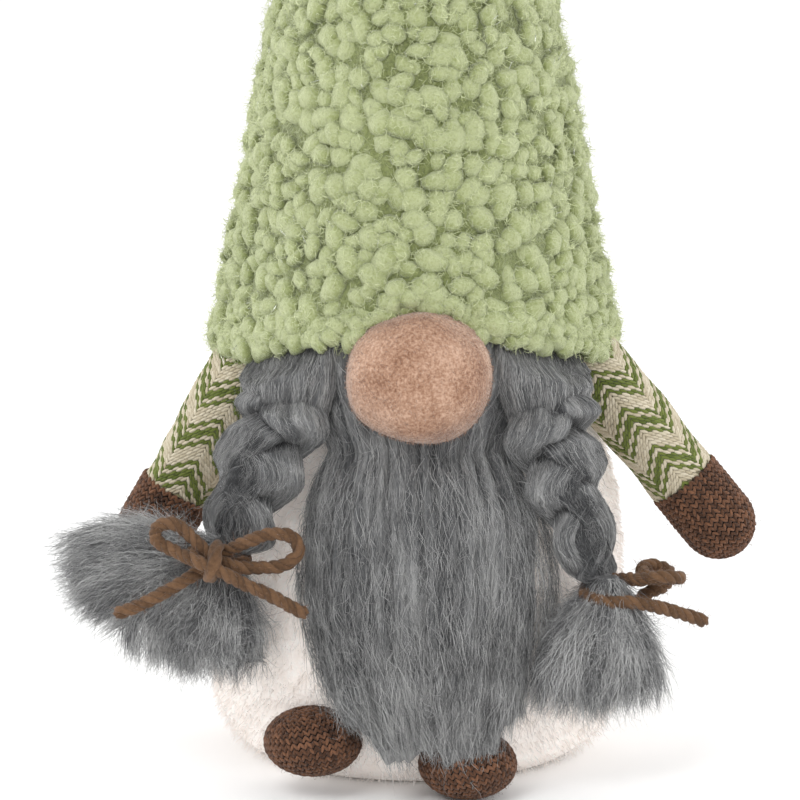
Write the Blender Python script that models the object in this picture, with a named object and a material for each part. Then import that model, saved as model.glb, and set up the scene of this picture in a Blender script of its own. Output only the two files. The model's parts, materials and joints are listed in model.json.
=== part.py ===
"""Tomte gnome figurine: a weighted plush body under a tall pile hat, with nose, beard, plaits, arms, feet.

Metres, +Z up. The gnome faces -Y, and "forward" below is distance along -Y. Left and right are the viewer's,
so every left_ piece has negative X. The origin is the middle of the base panel's underside, where it stands.
Each cover is an open shell over its own filling, and the arms, plaits and beard are hung from hinge empties.
"""
import math

import bmesh
import bpy
from mathutils import Vector

MM = 0.001
GAP = 0.4 * MM
FILL_SETBACK = 4.2 * MM   # how far a limb's filling stops short of the body, whose round side swells between

# Body: (radius, height) of the plush cover's outside, from the base seam to the gathered top inside the hat.
BODY_PROFILE = [(r * MM, z * MM) for r, z in (
    (49.5, 0.5), (56, 5), (61, 14), (63, 28), (63.5, 45), (63, 62), (61, 80), (57, 96),
    (51, 112), (45, 127), (38, 141), (29, 153), (17, 162), (7, 166))]
BODY_WALL = 2.2 * MM
BODY_SIDES = 28
BASE_PANEL_RADIUS = 46.8 * MM
BASE_PANEL_THICKNESS = 1.4 * MM
BASE_CARD_THICKNESS = 2.0 * MM
PELLET_BAG_TOP = 34 * MM
STUFFING_SIDES = 20

# Hat: (radius, height) of the pile's outside.
HAT_PROFILE = [(r * MM, z * MM) for r, z in (
    (61.5, 122), (59.5, 134), (56.5, 150), (53, 167), (48.5, 197), (43.5, 228),
    (37, 262), (30, 300), (23, 338), (16, 375), (10.5, 410), (6.5, 436), (3.5, 446))]
HAT_TOP = 450 * MM
HAT_WALL = 6 * MM
HAT_INNER_TOP = 436 * MM
HAT_SIDES = 32
HAT_STUFFING_BOTTOM = 169 * MM
HAT_STUFFING_TOP = 429 * MM
BRIM_FRONT_RISE = 10 * MM
NOSE_ARCH_RISE = 15 * MM
NOSE_ARCH_SPREAD = math.radians(18)

# Stuffed bulbs (nose and feet): cover thickness and the fineness of their rings.
BULB_WALL = 1.2 * MM
BULB_SIDES = 16
BULB_RINGS = 6
NOSE_CENTRE = (1.5 * MM, 58 * MM, 124.5 * MM)
NOSE_RADII = (19 * MM, 21 * MM, 19.5 * MM)
FOOT_RADII = (14 * MM, 14 * MM, 9.5 * MM)
LEFT_FOOT_CENTRE = (-30 * MM, 59.5 * MM, 15.9 * MM)
RIGHT_FOOT_CENTRE = (15.3 * MM, 62 * MM, 9.7 * MM)
GATHER_THREAD_RADIUS = 0.6 * MM
GATHER_RING_RADIUS = 5 * MM

# Arms: shoulder point (x, forward, z), lean from straight down, and lengths along the arm.
ARM_RADIUS = 11 * MM
ARM_WALL = 1.0 * MM
ARM_SIDES = 14
SLEEVE_GAP = 0.8 * MM
SHOULDER_TOP = 120.6 * MM
LEFT_ARM = {"sign": -1, "shoulder": (50.5 * MM, 14 * MM, 117 * MM), "lean": math.radians(30),
            "sleeve": 41 * MM, "length": 65 * MM}
RIGHT_ARM = {"sign": 1, "shoulder": (52 * MM, 14 * MM, 119 * MM), "lean": math.radians(39),
             "sleeve": 44.5 * MM, "length": 72 * MM}

# Beard: top edge, side edges (height, x) and the back's forward limit over the feet (height, forward).
BEARD_TOP = 101.5 * MM
BEARD_BOTTOM = 10 * MM
BEARD_LEFT_EDGE = [(z * MM, x * MM) for z, x in (
    (10, -14), (30, -22), (57, -29.5), (76, -29.5), (88, -27), (101.5, -21))]
BEARD_RIGHT_EDGE = [(z * MM, x * MM) for z, x in (
    (10, 28), (44, 31), (60, 33), (76, 33), (88, 30), (101.5, 23))]
BEARD_DRAPE = [(z * MM, f * MM) for z, f in ((10, 77.5), (20, 73.5), (30, 68.5), (45, 60), (101.5, 0))]
BEARD_DEPTH = [(z * MM, d * MM) for z, d in ((10, 5), (25, 8), (60, 10), (85, 8), (101.5, 4.5))]
BEARD_ROWS = 12
BEARD_COLUMNS = 12
BEARD_GAP = 0.7 * MM

# Plaits: centre line (x, forward, z) from the root to the tie, the turn of their flat side towards the body's
# side, and the weave of the three strands about the centre line.
PLAIT_TURN = math.radians(20)
LEFT_BRAID_LINE = [(x * MM, f * MM, z * MM) for x, f, z in (
    (-36.5, 47, 122), (-38, 51, 112), (-44, 54, 99), (-52, 54.5, 85), (-56.5, 54, 76.5))]
RIGHT_BRAID_LINE = [(x * MM, f * MM, z * MM) for x, f, z in (
    (37.5, 47, 122), (37.5, 53, 109), (43, 55.5, 93), (50, 56, 78), (54.5, 55, 67.5))]
STRAND_REACH = 7.4 * MM
STRAND_LIFT = 5.9 * MM
STRAND_HALF_WIDTH = 4.5 * MM
STRAND_HALF_DEPTH = 2.7 * MM
STRAND_SIDES = 7
STRAND_RINGS = 24
STRAND_TURNS = 1.15

# Tassels: the loose strand ends below the tie, fanned out in a plane that follows the body's side.
NECK_RADIUS = 3.8 * MM
NECK_LENGTH = 9 * MM
TASSEL_SIDES = 14
TASSEL_THICKNESS = (5.0 * MM, 6.5 * MM, 8.0 * MM, 7.5 * MM, 5.0 * MM, 2.0 * MM)
LEFT_TASSEL = {"sign": -1, "neck": (-57.5 * MM, 54 * MM, 70 * MM), "neck_lean": math.radians(22),
               "aim": math.radians(19), "spread": math.radians(66), "reach": 37 * MM, "skew": 0.33}
RIGHT_TASSEL = {"sign": 1, "neck": (56 * MM, 55 * MM, 61 * MM), "neck_lean": math.radians(14),
                "aim": math.radians(2), "spread": math.radians(34), "reach": 38 * MM, "skew": 0.02}

# Bows: one yarn each, (across, forward, up) from the middle of the neck, across towards +X.
YARN_RADIUS = 2.0 * MM
YARN_STEP = 4.2 * MM
LEFT_BOW_ROUTE = [(u * MM, w * MM, v * MM) for u, w, v in (
    (-30, 11, -14.5), (-22, 12.5, -11), (-13, 13, -6), (-5, 12, -1.5), (3, 8.8, -0.7), (7.8, 2, -0.6),
    (5.5, -5.8, -0.4), (0, -8, 0), (-5.5, -5.8, 0.6), (-8, 1.5, 1.6), (-5, 7.8, 3), (1.5, 10.4, 4.2),
    (8, 13, 7.4), (15, 13.2, 10), (21.5, 13, 9.2), (23.6, 12.8, 4.8), (19.5, 12.9, 0.8), (12, 13.2, 0),
    (5, 14.2, 0.6), (-2, 15, 4.2), (-7, 14.4, 9), (-12, 13.4, 13), (-17, 13, 12.4), (-17.6, 13, 8.2),
    (-12, 14.8, 5.2), (-5.5, 18.6, 3), (1, 20, 0.6), (8, 18.8, -3.6), (15, 17.6, -7), (26, 18, -13))]
RIGHT_BOW_ROUTE = [(u * MM, w * MM, v * MM) for u, w, v in (
    (29.5, -1, -10.5), (22.5, 1.5, -7.6), (14.5, 4.5, -4.6), (7.6, 6, -3), (1, 6.9, -2.6),
    (-4.5, 4.8, -2), (-6.5, 0, -1.2), (-4.8, -4.6, -0.2), (0.5, -6.6, 0.8), (5.6, -4.6, 1.6),
    (10, -0.5, 2.4), (15.5, 3.4, 4.2), (20.5, 1.6, 3.4), (21, -3.8, 2.2), (16, -6.2, 1.4),
    (11.4, -8.6, 1.6), (11, -14, 2.6), (14.5, -18.4, 2.4), (19, -16.6, 0.6), (17.5, -11.8, -2.2),
    (12.5, -9.6, -3.8), (9.4, -10.4, -7), (9.4, -12.4, -12), (11, -13.4, -17))]

COLOURS = {
    "plush": ((0.86, 0.83, 0.79), 0.95),
    "sherpa": ((0.47, 0.60, 0.32), 0.95),
    "velour": ((0.62, 0.42, 0.32), 0.9),
    "wool": ((0.20, 0.21, 0.23), 0.9),
    "yarn": ((0.20, 0.11, 0.06), 0.9),
    "woven": ((0.60, 0.58, 0.42), 0.9),
    "knit": ((0.19, 0.12, 0.08), 0.9),
    "fibrefill": ((0.85, 0.85, 0.84), 1.0),
    "card": ((0.55, 0.45, 0.33), 0.85),
    "pellets": ((0.70, 0.70, 0.68), 0.6),
    "thread": ((0.62, 0.48, 0.38), 0.8),
}
HINGES = {}


def between(table, key):
    """Value at key in a table of (key, value) pairs with rising keys, held at both ends."""
    if key <= table[0][0]:
        return table[0][1]
    for (k0, v0), (k1, v1) in zip(table, table[1:]):
        if key <= k1:
            return v0 + (v1 - v0) * (key - k0) / (k1 - k0)
    return table[-1][1]


def body_radius(z):
    """Outside radius of the body cover at height z, and nothing above it or below it."""
    if z < 0 or z > BODY_PROFILE[-1][1]:
        return 0.0
    return between([(height, radius) for radius, height in BODY_PROFILE], z)


def hat_radius(z):
    return between([(height, radius) for radius, height in HAT_PROFILE] + [(HAT_TOP, 0.0)], z)


def brim_height(azimuth):
    """Height of the hat's lower edge, where azimuth 0 is the front: arched over the nose."""
    rise = BRIM_FRONT_RISE * max(0.0, math.cos(azimuth)) ** 2
    arch = NOSE_ARCH_RISE * math.exp(-((azimuth / NOSE_ARCH_SPREAD) ** 2))
    return HAT_PROFILE[0][1] + rise + arch


def place(x, forward, z):
    return Vector((x, -forward, z))


def smooth_point(points, t):
    """Catmull-Rom point at t, from 0 at the first point to 1 at the last."""
    span = min(int(t * (len(points) - 1)), len(points) - 2)
    u = t * (len(points) - 1) - span
    p0 = points[max(span - 1, 0)]
    p1 = points[span]
    p2 = points[span + 1]
    p3 = points[min(span + 2, len(points) - 1)]
    return 0.5 * (2 * p1 + (p2 - p0) * u + (2 * p0 - 5 * p1 + 4 * p2 - p3) * u**2
                  + (3 * p1 - p0 - 3 * p2 + p3) * u**3)


def even_route(points, step):
    """Points about one step apart along the smooth curve through the given points."""
    fine = [smooth_point(points, i / 2000) for i in range(2001)]
    lengths = [0.0]
    for a, b in zip(fine, fine[1:]):
        lengths.append(lengths[-1] + (b - a).length)
    count = max(2, round(lengths[-1] / step))
    route = []
    index = 0
    for k in range(count + 1):
        target = lengths[-1] * k / count
        while index < len(fine) - 1 and lengths[index] < target:
            index += 1
        route.append(fine[index])
    return route


def material(slot):
    found = bpy.data.materials.get(slot)
    if found:
        return found
    colour, roughness = COLOURS[slot]
    made = bpy.data.materials.new(slot)
    made.use_nodes = True
    shader = made.node_tree.nodes["Principled BSDF"]
    shader.inputs["Base Color"].default_value = (*colour, 1.0)
    shader.inputs["Roughness"].default_value = roughness
    shader.inputs["Metallic"].default_value = 0.0
    made.diffuse_color = (*colour, 1.0)
    return made


def finish_object(obj, slot, hinge):
    bpy.context.scene.collection.objects.link(obj)
    obj.data.materials.append(material(slot))
    if hinge:
        obj.parent = HINGES[hinge]
        obj.matrix_parent_inverse = HINGES[hinge].matrix_world.inverted()
    return obj


def add_mesh(name, slot, rings, closed=False, hinge=None):
    """A closed solid skinned over rings of equal length. Open runs are capped; closed joins last to first.

    A ring of one point is a pole.
    """
    mesh = bmesh.new()
    made = [[mesh.verts.new(point) for point in ring] for ring in rings]
    pairs = list(zip(made, made[1:]))
    if closed:
        pairs.append((made[-1], made[0]))
    for lower, upper in pairs:
        count = max(len(lower), len(upper))
        for i in range(count):
            j = (i + 1) % count
            if len(lower) == 1:
                mesh.faces.new((lower[0], upper[j], upper[i]))
            elif len(upper) == 1:
                mesh.faces.new((lower[i], lower[j], upper[0]))
            else:
                mesh.faces.new((lower[i], lower[j], upper[j], upper[i]))
    if not closed:
        for ring in (made[0], made[-1]):
            if len(ring) > 1:
                mesh.faces.new(ring)
    bmesh.ops.recalc_face_normals(mesh, faces=mesh.faces)
    data = bpy.data.meshes.new(name)
    mesh.to_mesh(data)
    mesh.free()
    data.shade_smooth()
    data.set_sharp_from_angle(angle=math.radians(40))
    return finish_object(bpy.data.objects.new(name, data), slot, hinge)


def circle(radius, z, sides):
    turns = [math.tau * i / sides for i in range(sides)]
    return [Vector((radius * math.cos(t), radius * math.sin(t), z)) for t in turns]


def add_hinge(name, location):
    empty = bpy.data.objects.new(name, None)
    empty.location = location
    bpy.context.scene.collection.objects.link(empty)
    bpy.context.view_layer.update()
    HINGES[name] = empty


def body_inside(z, gap):
    """Radius that clears the inside of the body cover, which also closes in from above."""
    return min(body_radius(z), body_radius(z + BODY_WALL)) - BODY_WALL - gap


def make_body():
    outer = [circle(radius, z, BODY_SIDES) for radius, z in BODY_PROFILE]
    shoulder = BODY_PROFILE[-3][1]
    inner_profile = [(radius - BODY_WALL, z - BODY_WALL * (z > shoulder)) for radius, z in BODY_PROFILE]
    inner = [circle(radius, z, BODY_SIDES) for radius, z in reversed(inner_profile)]
    add_mesh("body_cover", "plush", outer + inner, closed=True)

    panel_top = BASE_PANEL_THICKNESS
    card_bottom = panel_top + GAP
    card_top = card_bottom + BASE_CARD_THICKNESS
    panel = (circle(BASE_PANEL_RADIUS, 0, BODY_SIDES), circle(BASE_PANEL_RADIUS, panel_top, BODY_SIDES))
    add_mesh("base_panel", "plush", panel)
    card = [circle(BASE_PANEL_RADIUS, z, BODY_SIDES) for z in (card_bottom, card_top)]
    add_mesh("base_card", "card", card)

    bag_heights = (card_top + GAP, 9 * MM, 16 * MM, 26 * MM, PELLET_BAG_TOP)
    bag = [circle(body_inside(z, 4 * GAP), z, STUFFING_SIDES) for z in bag_heights]
    add_mesh("pellet_bag", "pellets", bag)

    fill_heights = [PELLET_BAG_TOP + GAP] + [z * MM for z in (45, 62, 80, 96, 112, 127, 141, 152, 158)]
    fill = [circle(body_inside(z, 4 * GAP), z, STUFFING_SIDES) for z in fill_heights]
    add_mesh("body_stuffing", "fibrefill", fill)


def hat_rings(inset, top):
    """Rings up the hat, inset from its outside, from the brim to the given top."""
    rings = []
    base = HAT_PROFILE[0][1]
    for _, height in HAT_PROFILE:
        ring = []
        for i in range(HAT_SIDES):
            azimuth = math.tau * i / HAT_SIDES
            signed = (azimuth + math.pi) % math.tau - math.pi
            low = brim_height(signed)
            z = low + (height - base) * (top - low) / (HAT_TOP - base)
            radius = max(hat_radius(z) - inset, 0.6 * MM)
            ring.append(place(radius * math.sin(azimuth), radius * math.cos(azimuth), z))
        rings.append(ring)
    return rings


def make_hat():
    outer = hat_rings(0.0, HAT_TOP)
    inner = hat_rings(HAT_WALL, HAT_INNER_TOP)[::2]
    rings = [[place(0, 0, HAT_INNER_TOP)]] + inner[::-1] + outer + [[place(0, 0, HAT_TOP)]]
    add_mesh("hat_cover", "sherpa", rings)

    heights = [HAT_STUFFING_BOTTOM, *(z * MM for z in (197, 228, 262, 300, 338, 375, 410)), HAT_STUFFING_TOP]
    radii = [max(hat_radius(z) - HAT_WALL - 2 * GAP, 0.6 * MM) * 0.98 for z in heights]
    fill = [circle(radius, z, STUFFING_SIDES) for radius, z in zip(radii, heights)]
    add_mesh("hat_stuffing", "fibrefill", fill)


def outside_body(point, gap):
    return math.hypot(point.x, point.y) >= body_radius(point.z) + gap


def first_outside(point_at, start, end, accept):
    """First parameter from start towards end at which point_at gives an accepted point."""
    steps = 400
    for i in range(steps + 1):
        value = start + (end - start) * i / steps
        if accept(point_at(value)):
            return value
    return end


def bulb_rings(centre, radii, shrink, gap):
    """Rings of a stuffed ball that sits on the body, from where it leaves the body's surface to its tip."""
    middle = place(*centre)
    axis = Vector((middle.x, middle.y, 0)).normalized()
    side = Vector((0, 0, 1)).cross(axis)
    along, across, up = (radius - shrink for radius in radii)

    def point(u, turn):
        spread = math.sqrt(max(0.0, 1 - u * u))
        lift = Vector((0, 0, up * spread * math.sin(turn)))
        return middle + axis * along * u + side * across * spread * math.cos(turn) + lift

    rings = [[] for _ in range(BULB_RINGS)]
    for i in range(BULB_SIDES):
        turn = math.tau * i / BULB_SIDES
        leave = first_outside(lambda u: point(u, turn), -0.98, 0.9, lambda p: outside_body(p, gap))
        start = math.asin(leave)
        for k in range(BULB_RINGS):
            angle = start + (math.pi / 2 - start) * k / BULB_RINGS
            rings[k].append(point(math.sin(angle), turn))
    back = first_outside(lambda u: middle + axis * along * u, -0.98, 0.9, lambda p: outside_body(p, gap))
    return rings, middle + axis * along * back, middle + axis * along


def make_bulb(name, slot, centre, radii):
    """A sewn cover, open where it is stitched to the body, and the filling inside it."""
    outer, _, outer_tip = bulb_rings(centre, radii, 0.0, GAP)
    inner, _, inner_tip = bulb_rings(centre, radii, BULB_WALL, GAP)
    add_mesh(f"{name}_cover", slot, [[inner_tip]] + inner[::-1] + outer + [[outer_tip]])
    fill, back, tip = bulb_rings(centre, radii, BULB_WALL + 2 * GAP, FILL_SETBACK)
    add_mesh(f"{name}_stuffing", "fibrefill", [[back]] + fill + [[tip]])


def make_gather_thread():
    """The thread ring that closes the back of the nose, lying between its filling and the sloping body."""
    x, _, z = NOSE_CENTRE
    slope = math.atan2(body_radius(z) - body_radius(z + GATHER_RING_RADIUS), GATHER_RING_RADIUS)
    bpy.ops.mesh.primitive_torus_add(
        major_radius=GATHER_RING_RADIUS, minor_radius=GATHER_THREAD_RADIUS,
        major_segments=14, minor_segments=6,
        location=place(x, body_radius(z) + FILL_SETBACK / 2, z), rotation=(math.pi / 2 - slope, 0, 0))
    ring = bpy.context.object
    ring.name = "nose_gather_thread"
    ring.data.name = ring.name
    ring.data.materials.append(material("thread"))
    ring.data.shade_smooth()


def arm_frame(arm):
    """Shoulder point, direction down the arm, and the arm's upper side direction."""
    sign = arm["sign"]
    x, forward, z = arm["shoulder"]
    direction = Vector((sign * math.sin(arm["lean"]), 0, -math.cos(arm["lean"])))
    upper = Vector((sign * math.cos(arm["lean"]), 0, math.sin(arm["lean"])))
    return place(sign * x, forward, z), direction, upper


def clear_of_shoulder(point, gap):
    return outside_body(point, gap) and point.z <= SHOULDER_TOP


def arm_point(arm, along, turn, radius):
    shoulder, direction, upper = arm_frame(arm)
    front = Vector((0, -1, 0))
    return shoulder + direction * along + radius * (upper * math.cos(turn) + front * math.sin(turn))


def arm_mouth(arm, turn, radius, gap):
    """Distance down the arm where this line of its surface leaves the body and the brim."""
    longest = arm["sleeve"] * 0.9
    return first_outside(
        lambda a: arm_point(arm, a, turn, radius), 0.0, longest, lambda p: clear_of_shoulder(p, gap))


def sleeve_rings(arm, shrink, gap, end):
    radius = ARM_RADIUS - shrink
    turns = [math.tau * i / ARM_SIDES for i in range(ARM_SIDES)]
    starts = [arm_mouth(arm, turn, radius, gap) for turn in turns]
    rings = []
    for k in range(5):
        part = k / 4
        rings.append([arm_point(arm, a + (end - a) * part, turn, radius) for a, turn in zip(starts, turns)])
    return rings


def mitten_rings(arm, shrink, start):
    """Rings from the wrist to the rounded tip, the tip's own point last."""
    radius = ARM_RADIUS - shrink
    tip = arm["length"] - shrink
    turns = [math.tau * i / ARM_SIDES for i in range(ARM_SIDES)]
    centre = tip - ARM_RADIUS * 1.05
    stations = [(start, 1.0), (centre, 1.0)]
    for k in (1, 2, 3):
        angle = math.pi / 2 * k / 4
        stations.append((centre + (tip - centre) * math.sin(angle), math.cos(angle)))
    rings = [[arm_point(arm, a, turn, radius * size) for turn in turns] for a, size in stations]
    return rings + [[arm_point(arm, tip, 0, 0)]]


def shoulder_pivot(arm):
    """The stitched upper end of the sleeve, about which the arm lifts."""
    return arm_point(arm, arm_mouth(arm, 0, ARM_RADIUS, SLEEVE_GAP), 0, ARM_RADIUS)


def make_arm(side, arm):
    hinge = f"{side}_shoulder"
    add_hinge(hinge, shoulder_pivot(arm))
    wrist = arm["sleeve"]
    outer = sleeve_rings(arm, 0.0, SLEEVE_GAP, wrist - GAP)
    inner = sleeve_rings(arm, ARM_WALL, SLEEVE_GAP, wrist - GAP)
    add_mesh(f"{side}_sleeve", "woven", outer + inner[::-1], closed=True, hinge=hinge)
    outer = mitten_rings(arm, 0.0, wrist)
    inner = mitten_rings(arm, ARM_WALL, wrist)
    add_mesh(f"{side}_mitten", "knit", inner[::-1] + outer, hinge=hinge)
    shrink = ARM_WALL + 2 * GAP
    fill = sleeve_rings(arm, shrink, FILL_SETBACK, wrist) + mitten_rings(arm, shrink, wrist)[1:]
    start = first_outside(
        lambda a: arm_point(arm, a, 0, 0), 0.0, wrist, lambda p: clear_of_shoulder(p, FILL_SETBACK))
    add_mesh(f"{side}_arm_stuffing", "fibrefill", [[arm_point(arm, start, 0, 0)]] + fill, hinge=hinge)


def make_beard():
    """A slab of wool that lies on the body's front and drapes over the feet."""
    add_hinge("beard_root", place(0, body_radius(BEARD_TOP) + BEARD_GAP, BEARD_TOP))
    backs = []
    fronts = []
    for row in range(BEARD_ROWS + 1):
        z = BEARD_TOP + (BEARD_BOTTOM - BEARD_TOP) * row / BEARD_ROWS
        left = between(BEARD_LEFT_EDGE, z)
        right = between(BEARD_RIGHT_EDGE, z)
        back = []
        front = []
        for column in range(BEARD_COLUMNS + 1):
            part = column / BEARD_COLUMNS
            x = left + (right - left) * part
            surface = math.sqrt((body_radius(z) + BEARD_GAP) ** 2 - x * x)
            forward = max(surface, between(BEARD_DRAPE, z))
            fullness = 0.3 + 0.7 * math.sqrt(math.sin(math.pi * (0.04 + 0.92 * part)))
            back.append(place(x, forward, z))
            front.append(place(x, forward + between(BEARD_DEPTH, z) * fullness, z))
        backs.append(back)
        fronts.append(front)
    rings = [back + front[::-1] for back, front in zip(backs, fronts)]
    add_mesh("beard", "wool", rings, hinge="beard_root")


def plait_facing(sign):
    """Direction that the flat side of a plait or tassel faces, turned a little to its own side."""
    return Vector((sign * math.sin(PLAIT_TURN), -math.cos(PLAIT_TURN), 0))


def strand_rings(line, front, phase):
    """One of three strands, weaving from side to side and over and under the other two."""
    points = [place(*point) for point in line]
    rings = []
    for k in range(STRAND_RINGS):
        t = k / (STRAND_RINGS - 1)
        centre = smooth_point(points, t)
        ahead, behind = smooth_point(points, min(t + 0.01, 1)), smooth_point(points, max(t - 0.01, 0))
        tangent = (ahead - behind).normalized()
        across = tangent.cross(front).normalized()
        turn = math.tau * (STRAND_TURNS * t + phase)
        middle = centre + across * STRAND_REACH * math.sin(turn) + front * STRAND_LIFT * math.sin(2 * turn)
        size = min(1.0, 0.75 + 2.5 * t, 0.75 + 2.5 * (1 - t))
        ring = []
        for i in range(STRAND_SIDES):
            angle = math.tau * i / STRAND_SIDES
            sideways = across * STRAND_HALF_WIDTH * size * math.cos(angle)
            ring.append(middle + sideways + front * STRAND_HALF_DEPTH * size * math.sin(angle))
        rings.append(ring)
    return rings


def make_tassel(side, tassel, hinge):
    """The bound neck and the fan of loose ends, wider and longer towards the outside."""
    neck = place(*tassel["neck"])
    sign = tassel["sign"]
    outward = Vector((sign * math.cos(PLAIT_TURN), math.sin(PLAIT_TURN), 0))
    facing = plait_facing(sign)
    down = Vector((0, 0, -1))

    def ring_at(distance, lean, spread, thickness):
        ring = []
        for i in range(TASSEL_SIDES):
            angle = math.tau * i / TASSEL_SIDES
            swing = lean + spread * math.cos(angle)
            reach = distance * (1 + tassel["skew"] * math.cos(angle) * min(1.0, distance / tassel["reach"]))
            direction = down * math.cos(swing) + outward * math.sin(swing)
            ring.append(neck + direction * reach + facing * thickness * math.sin(angle))
        return ring

    def neck_ring(offset):
        lean = tassel["neck_lean"]
        axis = down * math.cos(lean) + outward * math.sin(lean)
        across = outward * math.cos(lean) - down * math.sin(lean)
        angles = [math.tau * i / TASSEL_SIDES for i in range(TASSEL_SIDES)]
        middle = neck + axis * offset
        return [middle + NECK_RADIUS * (across * math.cos(a) + facing * math.sin(a)) for a in angles]

    rings = [neck_ring(-NECK_LENGTH / 2), neck_ring(0), neck_ring(NECK_LENGTH / 2)]
    shares = (0.32, 0.5, 0.7, 0.86, 0.97, 1.0)
    for share, thickness in zip(shares, TASSEL_THICKNESS):
        opening = min(1.0, 0.55 + 0.7 * (share - shares[0]))
        rings.append(ring_at(tassel["reach"] * share, tassel["aim"], tassel["spread"] * opening, thickness))
    add_mesh(f"{side}_tassel", "wool", rings, hinge=hinge)


def make_yarn(name, tassel, route, hinge):
    """A yarn tied round the tassel's neck: a curve with a round section and filled ends."""
    neck = place(*tassel["neck"])
    points = [neck + Vector((across, -forward, up)) for across, forward, up in route]
    line = even_route(points, YARN_STEP)
    curve = bpy.data.curves.new(name, "CURVE")
    curve.dimensions = "3D"
    curve.bevel_depth = YARN_RADIUS
    curve.bevel_resolution = 2
    curve.use_fill_caps = True
    spline = curve.splines.new("POLY")
    spline.points.add(len(line) - 1)
    for point, target in zip(spline.points, line):
        point.co = (*target, 1.0)
    finish_object(bpy.data.objects.new(name, curve), "yarn", hinge)


def make_braid(side, line, tassel, bow_route):
    hinge = f"{side}_braid_root"
    add_hinge(hinge, place(*line[0]))
    for number in (1, 2, 3):
        rings = strand_rings(line, plait_facing(tassel["sign"]), (number - 1) / 3)
        add_mesh(f"{side}_braid_strand_{number}", "wool", rings, hinge=hinge)
    make_tassel(side, tassel, hinge)
    make_yarn(f"{side}_bow_yarn", tassel, bow_route, hinge)


def main():
    for old in list(bpy.data.objects):
        bpy.data.objects.remove(old, do_unlink=True)
    make_body()
    make_hat()
    make_bulb("nose", "velour", NOSE_CENTRE, NOSE_RADII)
    make_gather_thread()
    make_bulb("left_foot", "knit", LEFT_FOOT_CENTRE, FOOT_RADII)
    make_bulb("right_foot", "knit", RIGHT_FOOT_CENTRE, FOOT_RADII)
    make_arm("left", LEFT_ARM)
    make_arm("right", RIGHT_ARM)
    make_beard()
    make_braid("left", LEFT_BRAID_LINE, LEFT_TASSEL, LEFT_BOW_ROUTE)
    make_braid("right", RIGHT_BRAID_LINE, RIGHT_TASSEL, RIGHT_BOW_ROUTE)


main()
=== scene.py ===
"""The looks of the tomte gnome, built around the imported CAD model.

Metres, +Z up, the gnome faces -Y. Places are read from the CAD nodes, apart from the plaits' necks and roots
and the routes of bows and tassels, which are written out here.
Wool, pile and fur are real fibres over a solid core, and the knit and woven cloth are laid stitch by stitch.
"""
import functools
import json
import math

import bmesh
import bpy
import numpy as np
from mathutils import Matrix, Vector
from mathutils.bvhtree import BVHTree


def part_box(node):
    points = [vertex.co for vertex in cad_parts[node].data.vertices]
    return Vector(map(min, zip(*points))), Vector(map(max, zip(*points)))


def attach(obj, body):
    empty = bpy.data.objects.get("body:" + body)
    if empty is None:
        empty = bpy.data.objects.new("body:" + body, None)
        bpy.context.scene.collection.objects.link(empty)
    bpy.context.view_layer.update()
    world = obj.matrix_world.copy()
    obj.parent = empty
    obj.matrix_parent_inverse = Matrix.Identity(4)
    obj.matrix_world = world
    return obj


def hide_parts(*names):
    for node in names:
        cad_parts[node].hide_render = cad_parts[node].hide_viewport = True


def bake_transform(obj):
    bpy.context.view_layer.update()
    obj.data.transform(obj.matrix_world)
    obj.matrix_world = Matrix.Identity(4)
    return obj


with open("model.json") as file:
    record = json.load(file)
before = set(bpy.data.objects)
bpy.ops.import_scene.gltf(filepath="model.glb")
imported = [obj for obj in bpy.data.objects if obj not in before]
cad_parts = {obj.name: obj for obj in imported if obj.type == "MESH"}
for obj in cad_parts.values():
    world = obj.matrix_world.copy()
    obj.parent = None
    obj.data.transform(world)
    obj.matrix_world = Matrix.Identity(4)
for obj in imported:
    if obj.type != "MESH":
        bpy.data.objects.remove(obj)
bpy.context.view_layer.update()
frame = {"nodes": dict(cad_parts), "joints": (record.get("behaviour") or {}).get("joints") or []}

MM = 0.001
UP = np.array((0.0, 0.0, 1.0))

# Camera: 12 degrees above level, far enough for a flat view, with the hat's tip out of the picture.
CAMERA_AIM = Vector((-0.0045, 0.0, 0.1055))
CAMERA_ELEVATION = math.radians(12)
CAMERA_DISTANCE = 1.8
CAMERA_FIELD = 0.240
SENSOR = 36.0

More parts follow.
